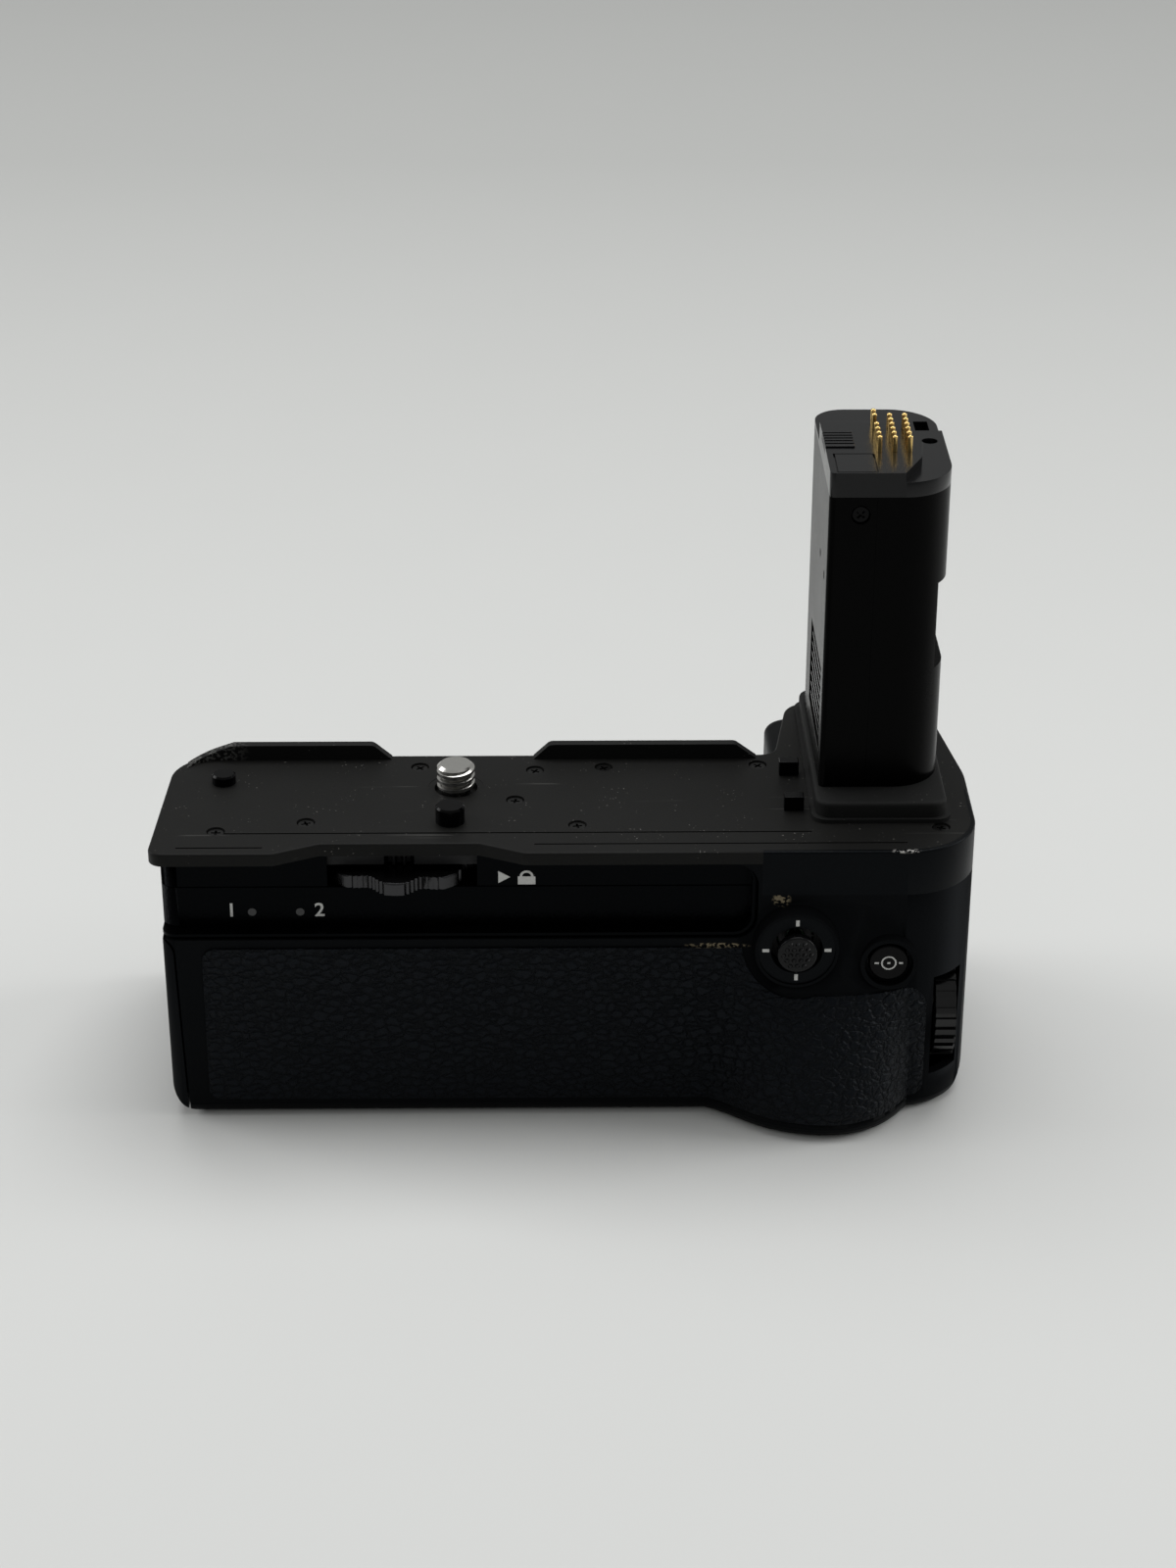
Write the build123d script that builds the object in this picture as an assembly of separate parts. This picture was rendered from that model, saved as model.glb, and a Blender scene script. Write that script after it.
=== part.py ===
from build123d import *
import math
import os

# Vertical camera grip that also holds two spare batteries.
# X runs along the grip, Y from the user's side to the front, Z up.
# Z = 0 is the bottom; X = 0 and Y = 0 are the middle of the top plate and its rear edge
# while the pieces are made, and all pieces move together to the final origin at the end.

# Overall sizes
grip_height = 49.8
plate_depth = 35.6
overrun = 20.0

# Walls and fits
shell_wall = 1.6
base_thickness = 2.0
plate_thickness = 2.2
fit_gap = 0.15
moving_gap = 0.3
shaft_play = 0.05

# Top plate outline
plate_overhang = 1.4
plate_end_draft = 1.8
plate_near_radius = 2.5
plate_far_radius = 8.0
plate_edge_round = 0.4
corner_radius = 12.0
bend_y = 28.0
bend_radius = 20.0
bulge_foot_inset = 31.8
bulge_foot_radius = 3.0
bulge_head_inset = 28.4
bulge_head_radius = 5.0
bulge_margin = 2.5
bulge_end_margin = 4.2
bulge_right_radius = 11.0
notch_left_x = -47.6
notch_right_x = -6.6
notch_slope = 7.4
notch_depth = 3.4
notch_radius = 2.0

# Body below the plate
bottom_round = 2.2
end_round = 6.0
end_draft = 0.7
inner_round_share = 1.6
hand_left_inset = 32.4
hand_overhang = 0.8
hand_drop = 3.2
hand_left_radius = 4.5
hand_top_round = 1.4
front_slope_top = 45.0
front_slope_low = 33.0
front_slope_radius = 5.0
front_bottom_radius = 4.0
seam_y = 18.0

# Palm rest on the rear face
palm_width = 42.5
palm_end_inset = 6.5
palm_height = 9.2
palm_sink = 0.6
palm_back = 8.0
palm_top_z = 43.0
palm_across_shares = [(0.0, 0.0), (0.11, 0.07), (0.245, 0.47), (0.345, 0.76), (0.51, 0.985),
                      (0.645, 0.98), (0.77, 0.75), (0.885, 0.22)]
palm_up_shares = [(1.0, -0.03), (0.77, 0.11), (0.58, 0.30), (0.35, 0.68), (0.14, 0.98)]
palm_foot_share = 0.98
palm_foot_steps = 4

# Recess in the rear face, with the lock wheel and the two lamps
recess_depth = 3.2
recess_low_z = 34.8
recess_corner = 3.0
recess_step = 0.2
recess_right_inset = 37.4
recess_radius = 3.0
tub_wall = 0.5
tub_gap = 0.5
tub_front = 0.3
panel_top_z = 41.9
panel_thickness = 0.8
lamp_radius = 0.7
lamp_z = 37.4
lamp_left_inset = 16.5
lamp_pitch = 7.9
lamp_length = 3.0

# Control cover, the band beside the recess
cover_left_inset = 35.8
cover_low_z = 41.8
cover_thickness = 0.8
cover_end_y = 22.0

# Rear leather
leather_left_inset = 8.2
leather_right_inset = 7.8
leather_top_z = 32.2
leather_step_z = 24.5
leather_low_z = 3.2
leather_radius = 2.2
leather_proud = 0.35
leather_seat = 0.5

# Front leather, around the hand hold
front_leather_left_inset = 27.0
front_leather_right_inset = 14.4
front_leather_low_z = 4.0
front_leather_top_z = 43.0

# Joystick
stick_inset = 30.0
stick_z = 32.8
stick_boss_radius = 7.6
stick_boss_front_radius = 6.9
stick_boss_front = 2.7
stick_ring_radius = 6.4
stick_ring_thickness = 1.2
stick_ring_sink = 0.3
stick_well_radius = 4.3
stick_leather_gap = 1.3
stick_cap_radius = 3.3
stick_cap_thickness = 1.5
stick_cap_proud = 1.4
stick_cap_round = 0.35
stick_stud = 0.42
stick_stud_height = 0.3
stick_stud_pitch = 1.15
stud_row_share = 0.87
stick_neck_radius = 1.0
stick_press = 0.4
gimbal_outer = 2.7
gimbal_inner = 1.7
gimbal_thickness = 1.0
gimbal_pin_radius = 0.35
gimbal_ball_radius = 1.15
module_size = 8.4
module_thickness = 1.8
module_hole_radius = 3.1

# Function button
button_inset = 14.7
button_z = 29.9
button_rim_radius = 4.75
button_rim_front = 2.3
button_well_radius = 4.0
button_cap_radius = 3.3
button_cap_sink = 0.6
button_shelf_front = 0.8
button_shelf_thickness = 0.6
button_chamber_radius = 4.3
button_flange = 0.6
button_flange_thickness = 0.7
button_cap_round = 0.4
button_travel = 0.5

# Circuit boards and switches
board_thickness = 1.0
control_board_low_z = 28.9
control_board_top_z = 41.2
control_board_left_inset = 34.6
control_board_right_inset = 10.0
switch_size = 2.4
main_board_inset = 10.0
main_board_near_y = 12.0
main_board_far_y = 38.5
side_board_inset = 6.1
side_board_near_y = 20.6
side_board_far_y = 29.4
side_board_top_z = 35.0

# Rear and front command dials
dial_rib_count = 30
dial_rib_height = 0.5
dial_rib_share = 0.5
dial_width = 3.4
dial_slot_margin = 0.7
dial_axle_radius = 1.2
dial_bracket_thickness = 1.0
rear_dial_radius = 9.4
rear_dial_inset = 4.3
rear_dial_sink = 0.7
rear_dial_z = 16.0
rear_slot_height = 18.8
front_dial_radius = 8.6
front_dial_inset = 10.3
front_dial_sink = 0.2
front_dial_z = 22.0
front_slot_height = 16.4

# Shutter button with its lock lever
shutter_setback = 14.8
shutter_z = 22.0
shutter_boss_radius = 8.2
shutter_face_inset = 2.8
shutter_boss_depth = 3.0
lever_outer = 7.4
lever_inner = 4.45
lever_sleeve = 5.2
lever_sleeve_length = 2.4
lever_thickness = 1.4
lever_tab = 0.4
lever_tab_width = 3.0
shutter_cap_radius = 4.15
shutter_proud = 0.9
shutter_cap_length = 5.2
shutter_cap_round = 0.6
shutter_travel = 0.9

# Two small buttons on the right end
side_button_y = 25.0
side_button_z = 20.0
side_button_pitch = 10.0
side_button_radius = 2.6
side_dish_radius = 3.4
side_dish_depth = 0.8
side_button_length = 2.6
side_button_proud_gap = 0.1
side_travel = 0.5

# Lock wheel, its gears and the tripod screw
screw_x = -18.2
screw_y = 23.6
screw_radius = 3.175
screw_pitch = 1.27
screw_proud = 4.5
screw_smooth = 0.4
screw_core_radius = 2.5
screw_chamfer = 0.6
screw_groove = 0.55
thread_groove_share = 0.4
thread_bottom_share = 0.2
thread_spare_turns = 3
bush_radius = 4.7
bush_gap = 0.45
bush_sink = 0.05
bush_land = 0.9
wheel_x = -27.2
wheel_y = 13.7
wheel_radius = 14.2
wheel_lobes = 9
wheel_lobe_depth = 1.6
wheel_first_lobe_share = 0.07
wheel_ridges = 12
wheel_ridge_depth = 0.3
wheel_smooth_share = 0.12
wheel_edge = 0.25
wheel_low_z = 42.3
wheel_thickness = 2.2
wheel_hub_radius = 5.0
wheel_slit_left = 11.8
wheel_slit_right = 12.8
gear_gap = 0.4
gear_thickness = 1.9
wheel_gear_teeth = 30
screw_gear_teeth = 20
gear_tip_share = 0.10
gear_root_share = 0.30
gear_addendum_share = 0.7
gear_dedendum_share = 1.1
spindle_radius = 1.5
bracket_low_z = 38.6
bracket_thickness = 1.6
bracket_post_radius = 1.8
bracket_post_left = 18.8
bracket_post_y = 20.0
bracket_tip = 5.4

# Inner frame below the top plate
frame_thickness = 2.4

# Locating pins, lugs, lips, screws and grooves of the top plate
left_pin_inset = 10.6
left_pin_y = 25.8
left_pin_radius = 2.0
left_pin_proud = 1.7
centre_pin_x = -18.9
centre_pin_y = 11.4
centre_pin_radius = 2.42
centre_pin_proud = 3.0
pin_chamfer = 0.3
pin_stem_step = 0.5
lug_stem_gap = 2.5
lug_width = 3.3
lug_depth = 2.0
lug_height = 2.6
lug_near_y = 14.4
lug_far_y = 27.3
lip_height = 2.7
lip_thickness = 1.6
lip_left_shares = (-0.944, -0.829, -0.478, -0.432)
lip_right_shares = (-0.076, -0.035, 0.432, 0.485)
groove_width = 0.35
groove_depth = 0.3
main_groove_y = 7.2
main_groove_left_inset = 12.0
main_groove_right_inset = 27.4
left_groove_y = 2.3
left_groove_left_inset = 4.6
left_groove_length = 14.1
right_groove_y = 3.2
right_groove_right_inset = 12.0
right_groove_length = 61.0
plate_screw_shares = [(-0.843, 0.225), (-0.628, 0.312), (-0.360, 0.876), (-0.072, 0.840),
                      (-0.121, 0.531), (0.031, 0.278), (0.100, 0.868), (0.487, 0.888), (0.912, 0.242)]
screw_head_radius = 1.3
screw_head_height = 0.7
screw_seat_gap = 0.25
screw_sink = 0.25
screw_shank_radius = 0.8
plate_screw_length = 3.6
cross_width = 0.4
cross_length = 1.6
cross_depth = 0.4
base_screw_shares = [(-0.81, 0.19), (-0.81, 0.81), (0.0, 0.19), (0.0, 0.81), (0.735, 0.19), (0.735, 0.81)]
base_screw_length = 3.6

# Stem that fills the camera's battery chamber
stem_end_gap = 5.5
stem_width = 20.2
stem_near_y = 16.5
stem_depth = 37.0
stem_left_radius = 1.0
stem_right_radius = 8.0
stem_far_left_radius = 5.0
stem_wall = 1.5
stem_split = 7.7
stem_top_z = 105.0
stem_foot_z = 42.2
stem_foot_height = 2.6
stem_foot_margin = 2.2
stem_notch_low = 73.6
stem_notch_high = 88.8
stem_notch_depth = 1.7
stem_label_low = 58.0
stem_label_high = 73.0
stem_label_along = 4.0
stem_label_length = 20.5
stem_label_depth = 0.4
stem_screw_across = 5.1
stem_screw_z = 102.0
stem_hole_radius = 0.7
stem_hole_shares = [(0.135, 0.753), (0.351, 0.761)]
cap_lobe_height = 2.6
cap_height = 4.2
cap_rim_height = 0.9
cap_plateau_width = 15.3
cap_facet_across = 12.0
cap_facet_depth = 7.0
cap_plateau_depth = 22.7
cap_trench_depth_y = 31.3
cap_trench_depth = 1.6
cap_panel_gap = 0.3
cap_panel_length = 8.5
cap_panel_depth = 0.35
cap_hole_across = 17.7
cap_hole_along = 18.0
cap_hole_radius = 1.3
rib_block_along = 11.1
rib_block_length = 7.2
rib_block_width = 4.8
rib_block_height = 0.25
rib_block_depth = 1.2
rib_count = 5
rib_groove = 0.5
contact_across = 8.6
contact_pitch_x = 2.45
contact_columns = 3
contact_along = 9.3
contact_pitch_y = 2.0
contact_rows_left = (0, 1, 2, 3, 5, 6)
contact_rows_other = (0, 1, 2, 3, 4, 5)
contact_radius = 0.42
contact_proud = 2.8
contact_length = 8.4
contact_travel = 1.2
contact_tip_share = 0.8
contact_block_margin = 1.1
ribbon_width = 9.0
ribbon_thickness = 0.4
ribbon_across = 11.7

# Rubber collar round the stem's foot
collar_near_y = 10.6
collar_height = 3.4
collar_side = 0.75
collar_far = 1.1
collar_corner = 2.6
collar_bead = 0.7
collar_bead_height = 0.7
collar_round = 0.6

# Battery bay, tray, door and latch
battery_length = 56.0
battery_width = 40.0
battery_height = 20.5
battery_play = 0.2
tray_wall = 1.0
tray_wall_height = 15.0
bay_wall = 0.8
bay_floor = 3.0
bay_round = 1.6
end_room = 19.4
door_inset = 5.4
door_high_inset = 3.4
door_low_inset = 5.1
door_gap = 0.32
door_radius = 2.9
terminal_thickness = 0.4
terminal_width = 22.0
terminal_height = 7.0
connector_width = 24.0
connector_height = 6.0
latch_y = 24.0
latch_z = 27.4
latch_radius = 4.2
latch_dish_depth = 0.9
latch_dish_margin = 0.4
latch_thickness = 0.8
latch_handle_width = 1.5
latch_handle_height = 1.0
latch_shaft_radius = 1.3
latch_tongue_length = 5.0
latch_tongue_width = 3.4
latch_tongue_thickness = 1.0

# Tripod socket in the base
socket_outer = 5.0
socket_length = 4.9
socket_flange = 6.5
socket_flange_thickness = 0.8

# Places worked out from the sizes above
pocket_length = battery_length + battery_play * 2 + terminal_thickness
tray_length = pocket_length * 2 + tray_wall * 3
grip_length = tray_length + end_room
half = grip_length / 2
plate_low_z = grip_height - plate_thickness
body_left_x = -half + plate_overhang
hand_top_z = grip_height - hand_drop
frame_top_z = plate_low_z
frame_low_z = frame_top_z - frame_thickness
bay_near_y = shell_wall + fit_gap
tray_near_y = bay_near_y + bay_wall + moving_gap
tray_width = battery_width + battery_play * 2 + tray_wall * 2
bay_far_y = tray_near_y + tray_width + moving_gap + bay_wall
bay_low_z = base_thickness + fit_gap
tray_low_z = bay_low_z + bay_floor + moving_gap
battery_low_z = tray_low_z + tray_wall
bay_top_z = battery_low_z + battery_height + battery_play * 2 + moving_gap + bay_wall
door_x = -half + door_inset
door_top_z = recess_low_z - tub_wall - tub_gap
door_high_x = -half + door_high_inset
door_low_x = -half + door_low_inset
tray_right_x = door_x + tray_length
bay_left_x = door_x + door_gap
bay_right_x = tray_right_x + moving_gap + bay_wall
gear_distance = math.hypot(screw_x - wheel_x, screw_y - wheel_y)
gear_module = gear_distance * 2 / (wheel_gear_teeth + screw_gear_teeth)
gear_line = math.degrees(math.atan2(screw_y - wheel_y, screw_x - wheel_x))
gear_low_z = wheel_low_z + wheel_thickness + gear_gap
front_depth = bay_far_y + fit_gap + shell_wall
stem_right_x = half - stem_end_gap
stem_left_x = stem_right_x - stem_width
stem_far_y = stem_near_y + stem_depth
stem_split_x = stem_left_x + stem_split
stem_screw_x = stem_left_x + stem_screw_across
stem_label_near = stem_near_y + stem_label_along
cap_top_z = stem_top_z + cap_height
cap_plateau_far_y = stem_near_y + cap_plateau_depth
cap_trench_far_y = stem_near_y + cap_trench_depth_y
rib_block_near_y = stem_near_y + rib_block_along
rib_block_far_y = rib_block_near_y + rib_block_length
contact_left_x = stem_left_x + contact_across
contact_near_y = stem_near_y + contact_along
ribbon_x = stem_left_x + ribbon_across
bulge_depth = stem_far_y + bulge_margin
bulge_right_x = half - bulge_end_margin
bulge_foot_x = half - bulge_foot_inset
bulge_head_x = half - bulge_head_inset
hand_depth = bulge_depth + hand_overhang
hand_left_x = half - hand_left_inset
palm_end_x = half - palm_end_inset
palm_start_x = palm_end_x - palm_width
recess_right_x = half - recess_right_inset
recess_wall_right_x = recess_right_x + tub_wall + tub_gap + shell_wall
lamp_left_x = -half + lamp_left_inset
cover_left_x = half - cover_left_inset
leather_left_x = -half + leather_left_inset
leather_right_x = half - leather_right_inset
front_leather_left_x = half - front_leather_left_inset
front_leather_right_x = half - front_leather_right_inset
stick_x = half - stick_inset
button_x = half - button_inset
control_board_left_x = half - control_board_left_inset
control_board_right_x = half - control_board_right_inset
side_board_x = half - side_board_inset
rear_dial_x = half - rear_dial_inset
rear_dial_y = rear_dial_sink + rear_dial_radius
front_dial_x = half - front_dial_inset
front_dial_y = hand_depth - front_dial_sink - front_dial_radius
shutter_y = hand_depth - shutter_setback
shutter_face_x = half - shutter_face_inset
wheel_slit_left_x = wheel_x - wheel_slit_left
wheel_slit_right_x = wheel_x + wheel_slit_right
bracket_post_x = wheel_x - bracket_post_left
left_pin_x = -half + left_pin_inset
lug_left_x = stem_left_x - lug_stem_gap - lug_width
main_groove_left_x = -half + main_groove_left_inset
main_groove_right_x = half - main_groove_right_inset
left_groove_left_x = -half + left_groove_left_inset
left_groove_right_x = left_groove_left_x + left_groove_length
right_groove_right_x = half - right_groove_right_inset
right_groove_left_x = right_groove_right_x - right_groove_length
plate_screw_places = [(x_share * half, y_share * plate_depth) for x_share, y_share in plate_screw_shares]
base_screw_places = [(x_share * half, y_share * front_depth) for x_share, y_share in base_screw_shares]
stick_plane_y = -stick_boss_front
contact_block_height = contact_length - contact_proud + contact_travel + moving_gap
pivot_y = shell_wall + fit_gap + module_thickness / 2
control_board_y = shell_wall + fit_gap + module_thickness + moving_gap * 2


def box_between(x0, x1, y0, y1, z0, z1):
    """A block between two values on each axis."""
    return Pos((x0 + x1) / 2, (y0 + y1) / 2, (z0 + z1) / 2) * Box(x1 - x0, y1 - y0, z1 - z0)


def rod(start, direction, radius, length):
    """A round rod from a start point along a direction."""
    place = Plane(origin=start, z_dir=direction)
    return place * Cylinder(radius, length, align=(Align.CENTER, Align.CENTER, Align.MIN))


def taper_rod(start, direction, radius, end_radius, length):
    """A round rod that narrows along its length."""
    place = Plane(origin=start, z_dir=direction)
    return place * Cone(radius, end_radius, length, align=(Align.CENTER, Align.CENTER, Align.MIN))


def rounded_face(corners):
    """A flat face from corners given as x, y and corner radius."""
    points = [(x, y) for x, y, radius in corners]
    radii = [radius for x, y, radius in corners]
    return make_face(FilletPolyline(*points, radius=radii, close=True))


def side_prism(corners, x0, x1):
    """A prism along X whose section is drawn in Y and Z."""
    place = Plane(origin=(x0, 0, 0), x_dir=(0, 1, 0), z_dir=(1, 0, 0))
    return extrude(place * rounded_face(corners), x1 - x0)


def face_prism(corners, y0, y1):
    """A prism along Y whose section is drawn in X and Z."""
    place = Plane(origin=(0, y1, 0), x_dir=(1, 0, 0), z_dir=(0, -1, 0))
    return extrude(place * rounded_face(corners), y1 - y0)


def plan_prism(face, z0, z1):
    """A prism along Z from a face drawn in X and Y."""
    return extrude(Pos(0, 0, z0) * face, z1 - z0)


def joined(shapes):
    """All shapes as one list of solids, for a node of like pieces."""
    return Compound([solid for shape in shapes for solid in shape.solids()])


def plate_corners(left_x, left_far_x):
    """The outline shared by the top plate and the body below it, without the notch."""
    return [
        (left_far_x, plate_depth, plate_far_radius),
        (bulge_foot_x, plate_depth, bulge_foot_radius),
        (bulge_head_x, bulge_depth, bulge_head_radius),
        (bulge_right_x, bulge_depth, bulge_right_radius),
        (half, bend_y, bend_radius),
        (half, 0, corner_radius),
    ], [(left_x, 0, plate_near_radius)]


def plate_face():
    """The top plate's outline, with the finger notch above the lock wheel."""
    far, near = plate_corners(-half, -half + plate_end_draft)
    notch = [
        (notch_right_x, 0, notch_radius),
        (notch_right_x - notch_slope, notch_depth, notch_radius),
        (notch_left_x + notch_slope, notch_depth, notch_radius),
        (notch_left_x, 0, notch_radius),
    ]
    return rounded_face(far + notch + near)


def body_face():
    """The body's outline below the plate."""
    far, near = plate_corners(body_left_x, body_left_x + end_draft)
    return rounded_face(far + near)


def hand_face():
    """The outline of the hand hold at the front right, a little wider than the plate."""
    return rounded_face([
        (hand_left_x, seam_y, 0),
        (hand_left_x, hand_depth, hand_left_radius),
        (bulge_right_x, hand_depth, bulge_right_radius),
        (half, bend_y, bend_radius),
        (half, seam_y, 0),
    ])


def palm_section(height, grow, z, inset):
    """One level cut through the palm rest, set back where the bottom edge is rounded."""
    width = palm_end_x - palm_start_x
    curve = []
    for across_share, out_share in palm_across_shares:
        out = palm_sink + inset - grow - out_share * (height + palm_sink)
        curve.append((palm_start_x + across_share * width, out, z))
    curve.append((palm_end_x, palm_back, z))
    rounded = Spline(*curve)
    closing = Polyline((palm_end_x, palm_back, z), (palm_start_x, palm_back, z), curve[0])
    return make_face([rounded, closing])


def palm_rest(grow):
    """The swelling of the rear face that fills the palm."""
    sections = []
    for step in range(palm_foot_steps + 1):
        angle = math.pi / 2 * (1 - step / palm_foot_steps)
        z = bottom_round * (1 - math.sin(angle))
        inset = bottom_round * (1 - math.cos(angle))
        sections.append(palm_section(palm_foot_share * palm_height, grow, z, inset))
    for up_share, out_share in reversed(palm_up_shares):
        sections.append(palm_section(out_share * palm_height, grow, up_share * palm_top_z, 0))
    return loft(sections, ruled=True)


def end_envelope(inset):
    """The outline from the rear that rounds both lower ends."""
    radius = end_round - inset * inner_round_share
    return face_prism([
        (body_left_x + inset, grip_height + overrun, 0),
        (body_left_x + end_draft + inset, inset, radius),
        (half - inset, inset, radius),
        (half - inset, grip_height + overrun, 0),
    ], -overrun, hand_depth + overrun)


def front_swell(inset, left_x, right_x):
    """The deeper lower front, which makes room for the batteries."""
    bottom_radius = front_bottom_radius - inset * inner_round_share
    return side_prism([
        (seam_y, front_slope_top - inset, 0),
        (plate_depth - inset, front_slope_top - inset, front_slope_radius),
        (front_depth - inset, front_slope_low - inset, front_slope_radius),
        (front_depth - inset, inset, bottom_radius),
        (seam_y, inset, 0),
    ], left_x, right_x)


def outer_form():
    """The whole closed outside of the body below the top plate."""
    body = plan_prism(body_face(), 0, plate_low_z)
    body = fillet(body.edges().group_by(Axis.Z)[0], bottom_round)
    hand = plan_prism(hand_face(), 0, hand_top_z)
    hand = fillet(hand.edges().group_by(Axis.Z)[0].filter_by(lambda edge: edge.center().Y > bend_y),
                  bottom_round)
    hand = fillet(hand.edges().group_by(Axis.Z)[-1].filter_by(lambda edge: edge.center().Y > bend_y),
                  hand_top_round)
    swell = front_swell(0, body_left_x, hand_left_x + hand_left_radius)
    form = body + hand + swell + palm_rest(0)
    return form & end_envelope(0)


def inner_form():
    """The hollow inside the walls."""
    body = plan_prism(offset(body_face(), -shell_wall), base_thickness, plate_low_z)
    hand = plan_prism(offset(hand_face(), -shell_wall), base_thickness, hand_top_z - shell_wall)
    swell = front_swell(shell_wall, body_left_x + shell_wall, hand_left_x + hand_left_radius)
    palm = palm_rest(-shell_wall * 2) & box_between(
        palm_start_x, palm_end_x, -overrun, palm_back, base_thickness, stick_z - stick_boss_radius)
    form = body + hand + swell + palm
    form = form & end_envelope(shell_wall)
    form = form & box_between(-half, half, -overrun, hand_depth + overrun, base_thickness, plate_low_z)
    backing = box_between(-half, recess_wall_right_x, -overrun, recess_depth + shell_wall,
                          door_top_z - shell_wall, plate_low_z)
    return form - backing


def recess_room(grow, depth, low_z):
    """The long recess, open at the left end, where its back wall turns round the corner."""
    window = face_prism([
        (-half - overrun, plate_low_z, 0),
        (-half - overrun, low_z, 0),
        (recess_right_x + grow, low_z, recess_radius + grow),
        (recess_right_x + grow, plate_low_z, recess_radius + grow),
    ], -overrun, depth + recess_corner)
    core = rounded_face([
        (body_left_x, depth, recess_corner),
        (half, depth, 0),
        (half, front_depth, 0),
        (body_left_x, front_depth, 0),
    ])
    return window - plan_prism(core, 0, grip_height)


def recess_cuts():
    """The recess as cut from the casing, a little deeper above its lining."""
    room = recess_room(tub_wall + tub_gap, recess_depth, door_top_z)
    upper = recess_room(0, recess_depth + recess_step, recess_low_z)
    upper = upper & box_between(-half - overrun, half, -overrun, recess_depth + shell_wall,
                                panel_top_z, plate_low_z)
    return [room, upper]


def wheel_window():
    """The slit in the recess's back wall through which the lock wheel reaches."""
    reach = wheel_radius + moving_gap * 2
    low = wheel_low_z - moving_gap
    sweep_room = rod((wheel_x, wheel_y, low), (0, 0, 1), reach, plate_low_z - low)
    slit = box_between(wheel_slit_left_x, wheel_slit_right_x, -overrun, recess_depth + shell_wall,
                       low, plate_low_z)
    return sweep_room + slit


def door_block(grow):
    """The region at the left end that belongs to the battery door."""
    slope = (door_low_x - door_high_x) / (door_top_z - bottom_round)
    foot_x = door_low_x + slope * bottom_round
    return face_prism([
        (-half - overrun, door_top_z + grow, 0),
        (door_high_x + grow, door_top_z + grow, door_radius),
        (foot_x + grow, -overrun, 0),
        (-half - overrun, -overrun, 0),
    ], -overrun, hand_depth + overrun)


def cover_form():
    """The thin band that wraps the near right corner, up to the plate's top."""
    outer = plan_prism(body_face(), cover_low_z, grip_height)
    outer = fillet(outer.edges().group_by(Axis.Z)[-1], plate_edge_round)
    band = outer - plan_prism(offset(body_face(), -cover_thickness), 0, grip_height)
    return band & box_between(cover_left_x, half + overrun, -overrun, cover_end_y, 0, grip_height)


def leather_region():
    """The rear leather's outline, with the bite round the joystick."""
    panel = face_prism([
        (leather_left_x, leather_low_z, leather_radius),
        (leather_left_x, leather_top_z, leather_radius),
        (stick_x, leather_top_z, 0),
        (stick_x, leather_step_z, 0),
        (leather_right_x, leather_step_z, leather_radius * 2),
        (leather_right_x, leather_low_z, leather_radius),
    ], -overrun, shell_wall + palm_back)
    bite = rod((stick_x, -overrun, stick_z), (0, 1, 0), stick_boss_radius + stick_leather_gap,
               overrun * 2)
    return panel - bite


def rear_surface(grow):
    """The rear half's outside, moved out by a small amount."""
    body = plan_prism(offset(body_face(), grow), -overrun, grip_height)
    return body + palm_rest(grow)


def leather_skin():
    """The rear leather, seated in its shallow pocket."""
    return (rear_surface(leather_proud) - rear_surface(-leather_seat)) & leather_region()


def front_leather_skin():
    """The front leather on the hand hold."""
    ring = offset(hand_face(), leather_proud) - offset(hand_face(), -leather_seat)
    band = plan_prism(ring, front_leather_low_z, front_leather_top_z)
    region = face_prism([
        (front_leather_left_x, front_leather_low_z, leather_radius),
        (front_leather_left_x, front_leather_top_z, leather_radius),
        (front_leather_right_x, front_leather_top_z, leather_radius),
        (front_leather_right_x, front_leather_low_z, leather_radius),
    ], front_depth, hand_depth + overrun)
    return band & region


def rear_bosses():
    """The raised seats of the joystick and the function button."""
    stick = taper_rod((stick_x, shell_wall, stick_z), (0, -1, 0), stick_boss_radius,
                      stick_boss_front_radius, shell_wall + stick_boss_front)
    button = rod((button_x, shell_wall, button_z), (0, -1, 0), button_rim_radius,
                 shell_wall + button_rim_front)
    return stick + button


def rear_wells():
    """The openings for the joystick, the function button and the rear dial."""
    ring_seat = rod((stick_x, stick_plane_y - overrun, stick_z), (0, 1, 0), stick_ring_radius,
                    overrun + stick_ring_sink + stick_ring_thickness)
    stick = rod((stick_x, -overrun, stick_z), (0, 1, 0), stick_well_radius + stick_ring_sink,
                overrun * 2)
    shelf_y = -button_shelf_front
    button = rod((button_x, shelf_y, button_z), (0, -1, 0), button_well_radius, overrun)
    button = button + rod((button_x, -overrun, button_z), (0, 1, 0), button_cap_radius + fit_gap,
                          overrun * 2)
    button = button + rod((button_x, shelf_y + button_shelf_thickness, button_z), (0, 1, 0),
                          button_chamber_radius, overrun)
    slot = box_between(rear_dial_x - dial_width / 2 - dial_slot_margin,
                       rear_dial_x + dial_width / 2 + dial_slot_margin,
                       -overrun, rear_dial_y,
                       rear_dial_z - rear_slot_height / 2, rear_dial_z + rear_slot_height / 2)
    return ring_seat + stick + button + slot


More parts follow.
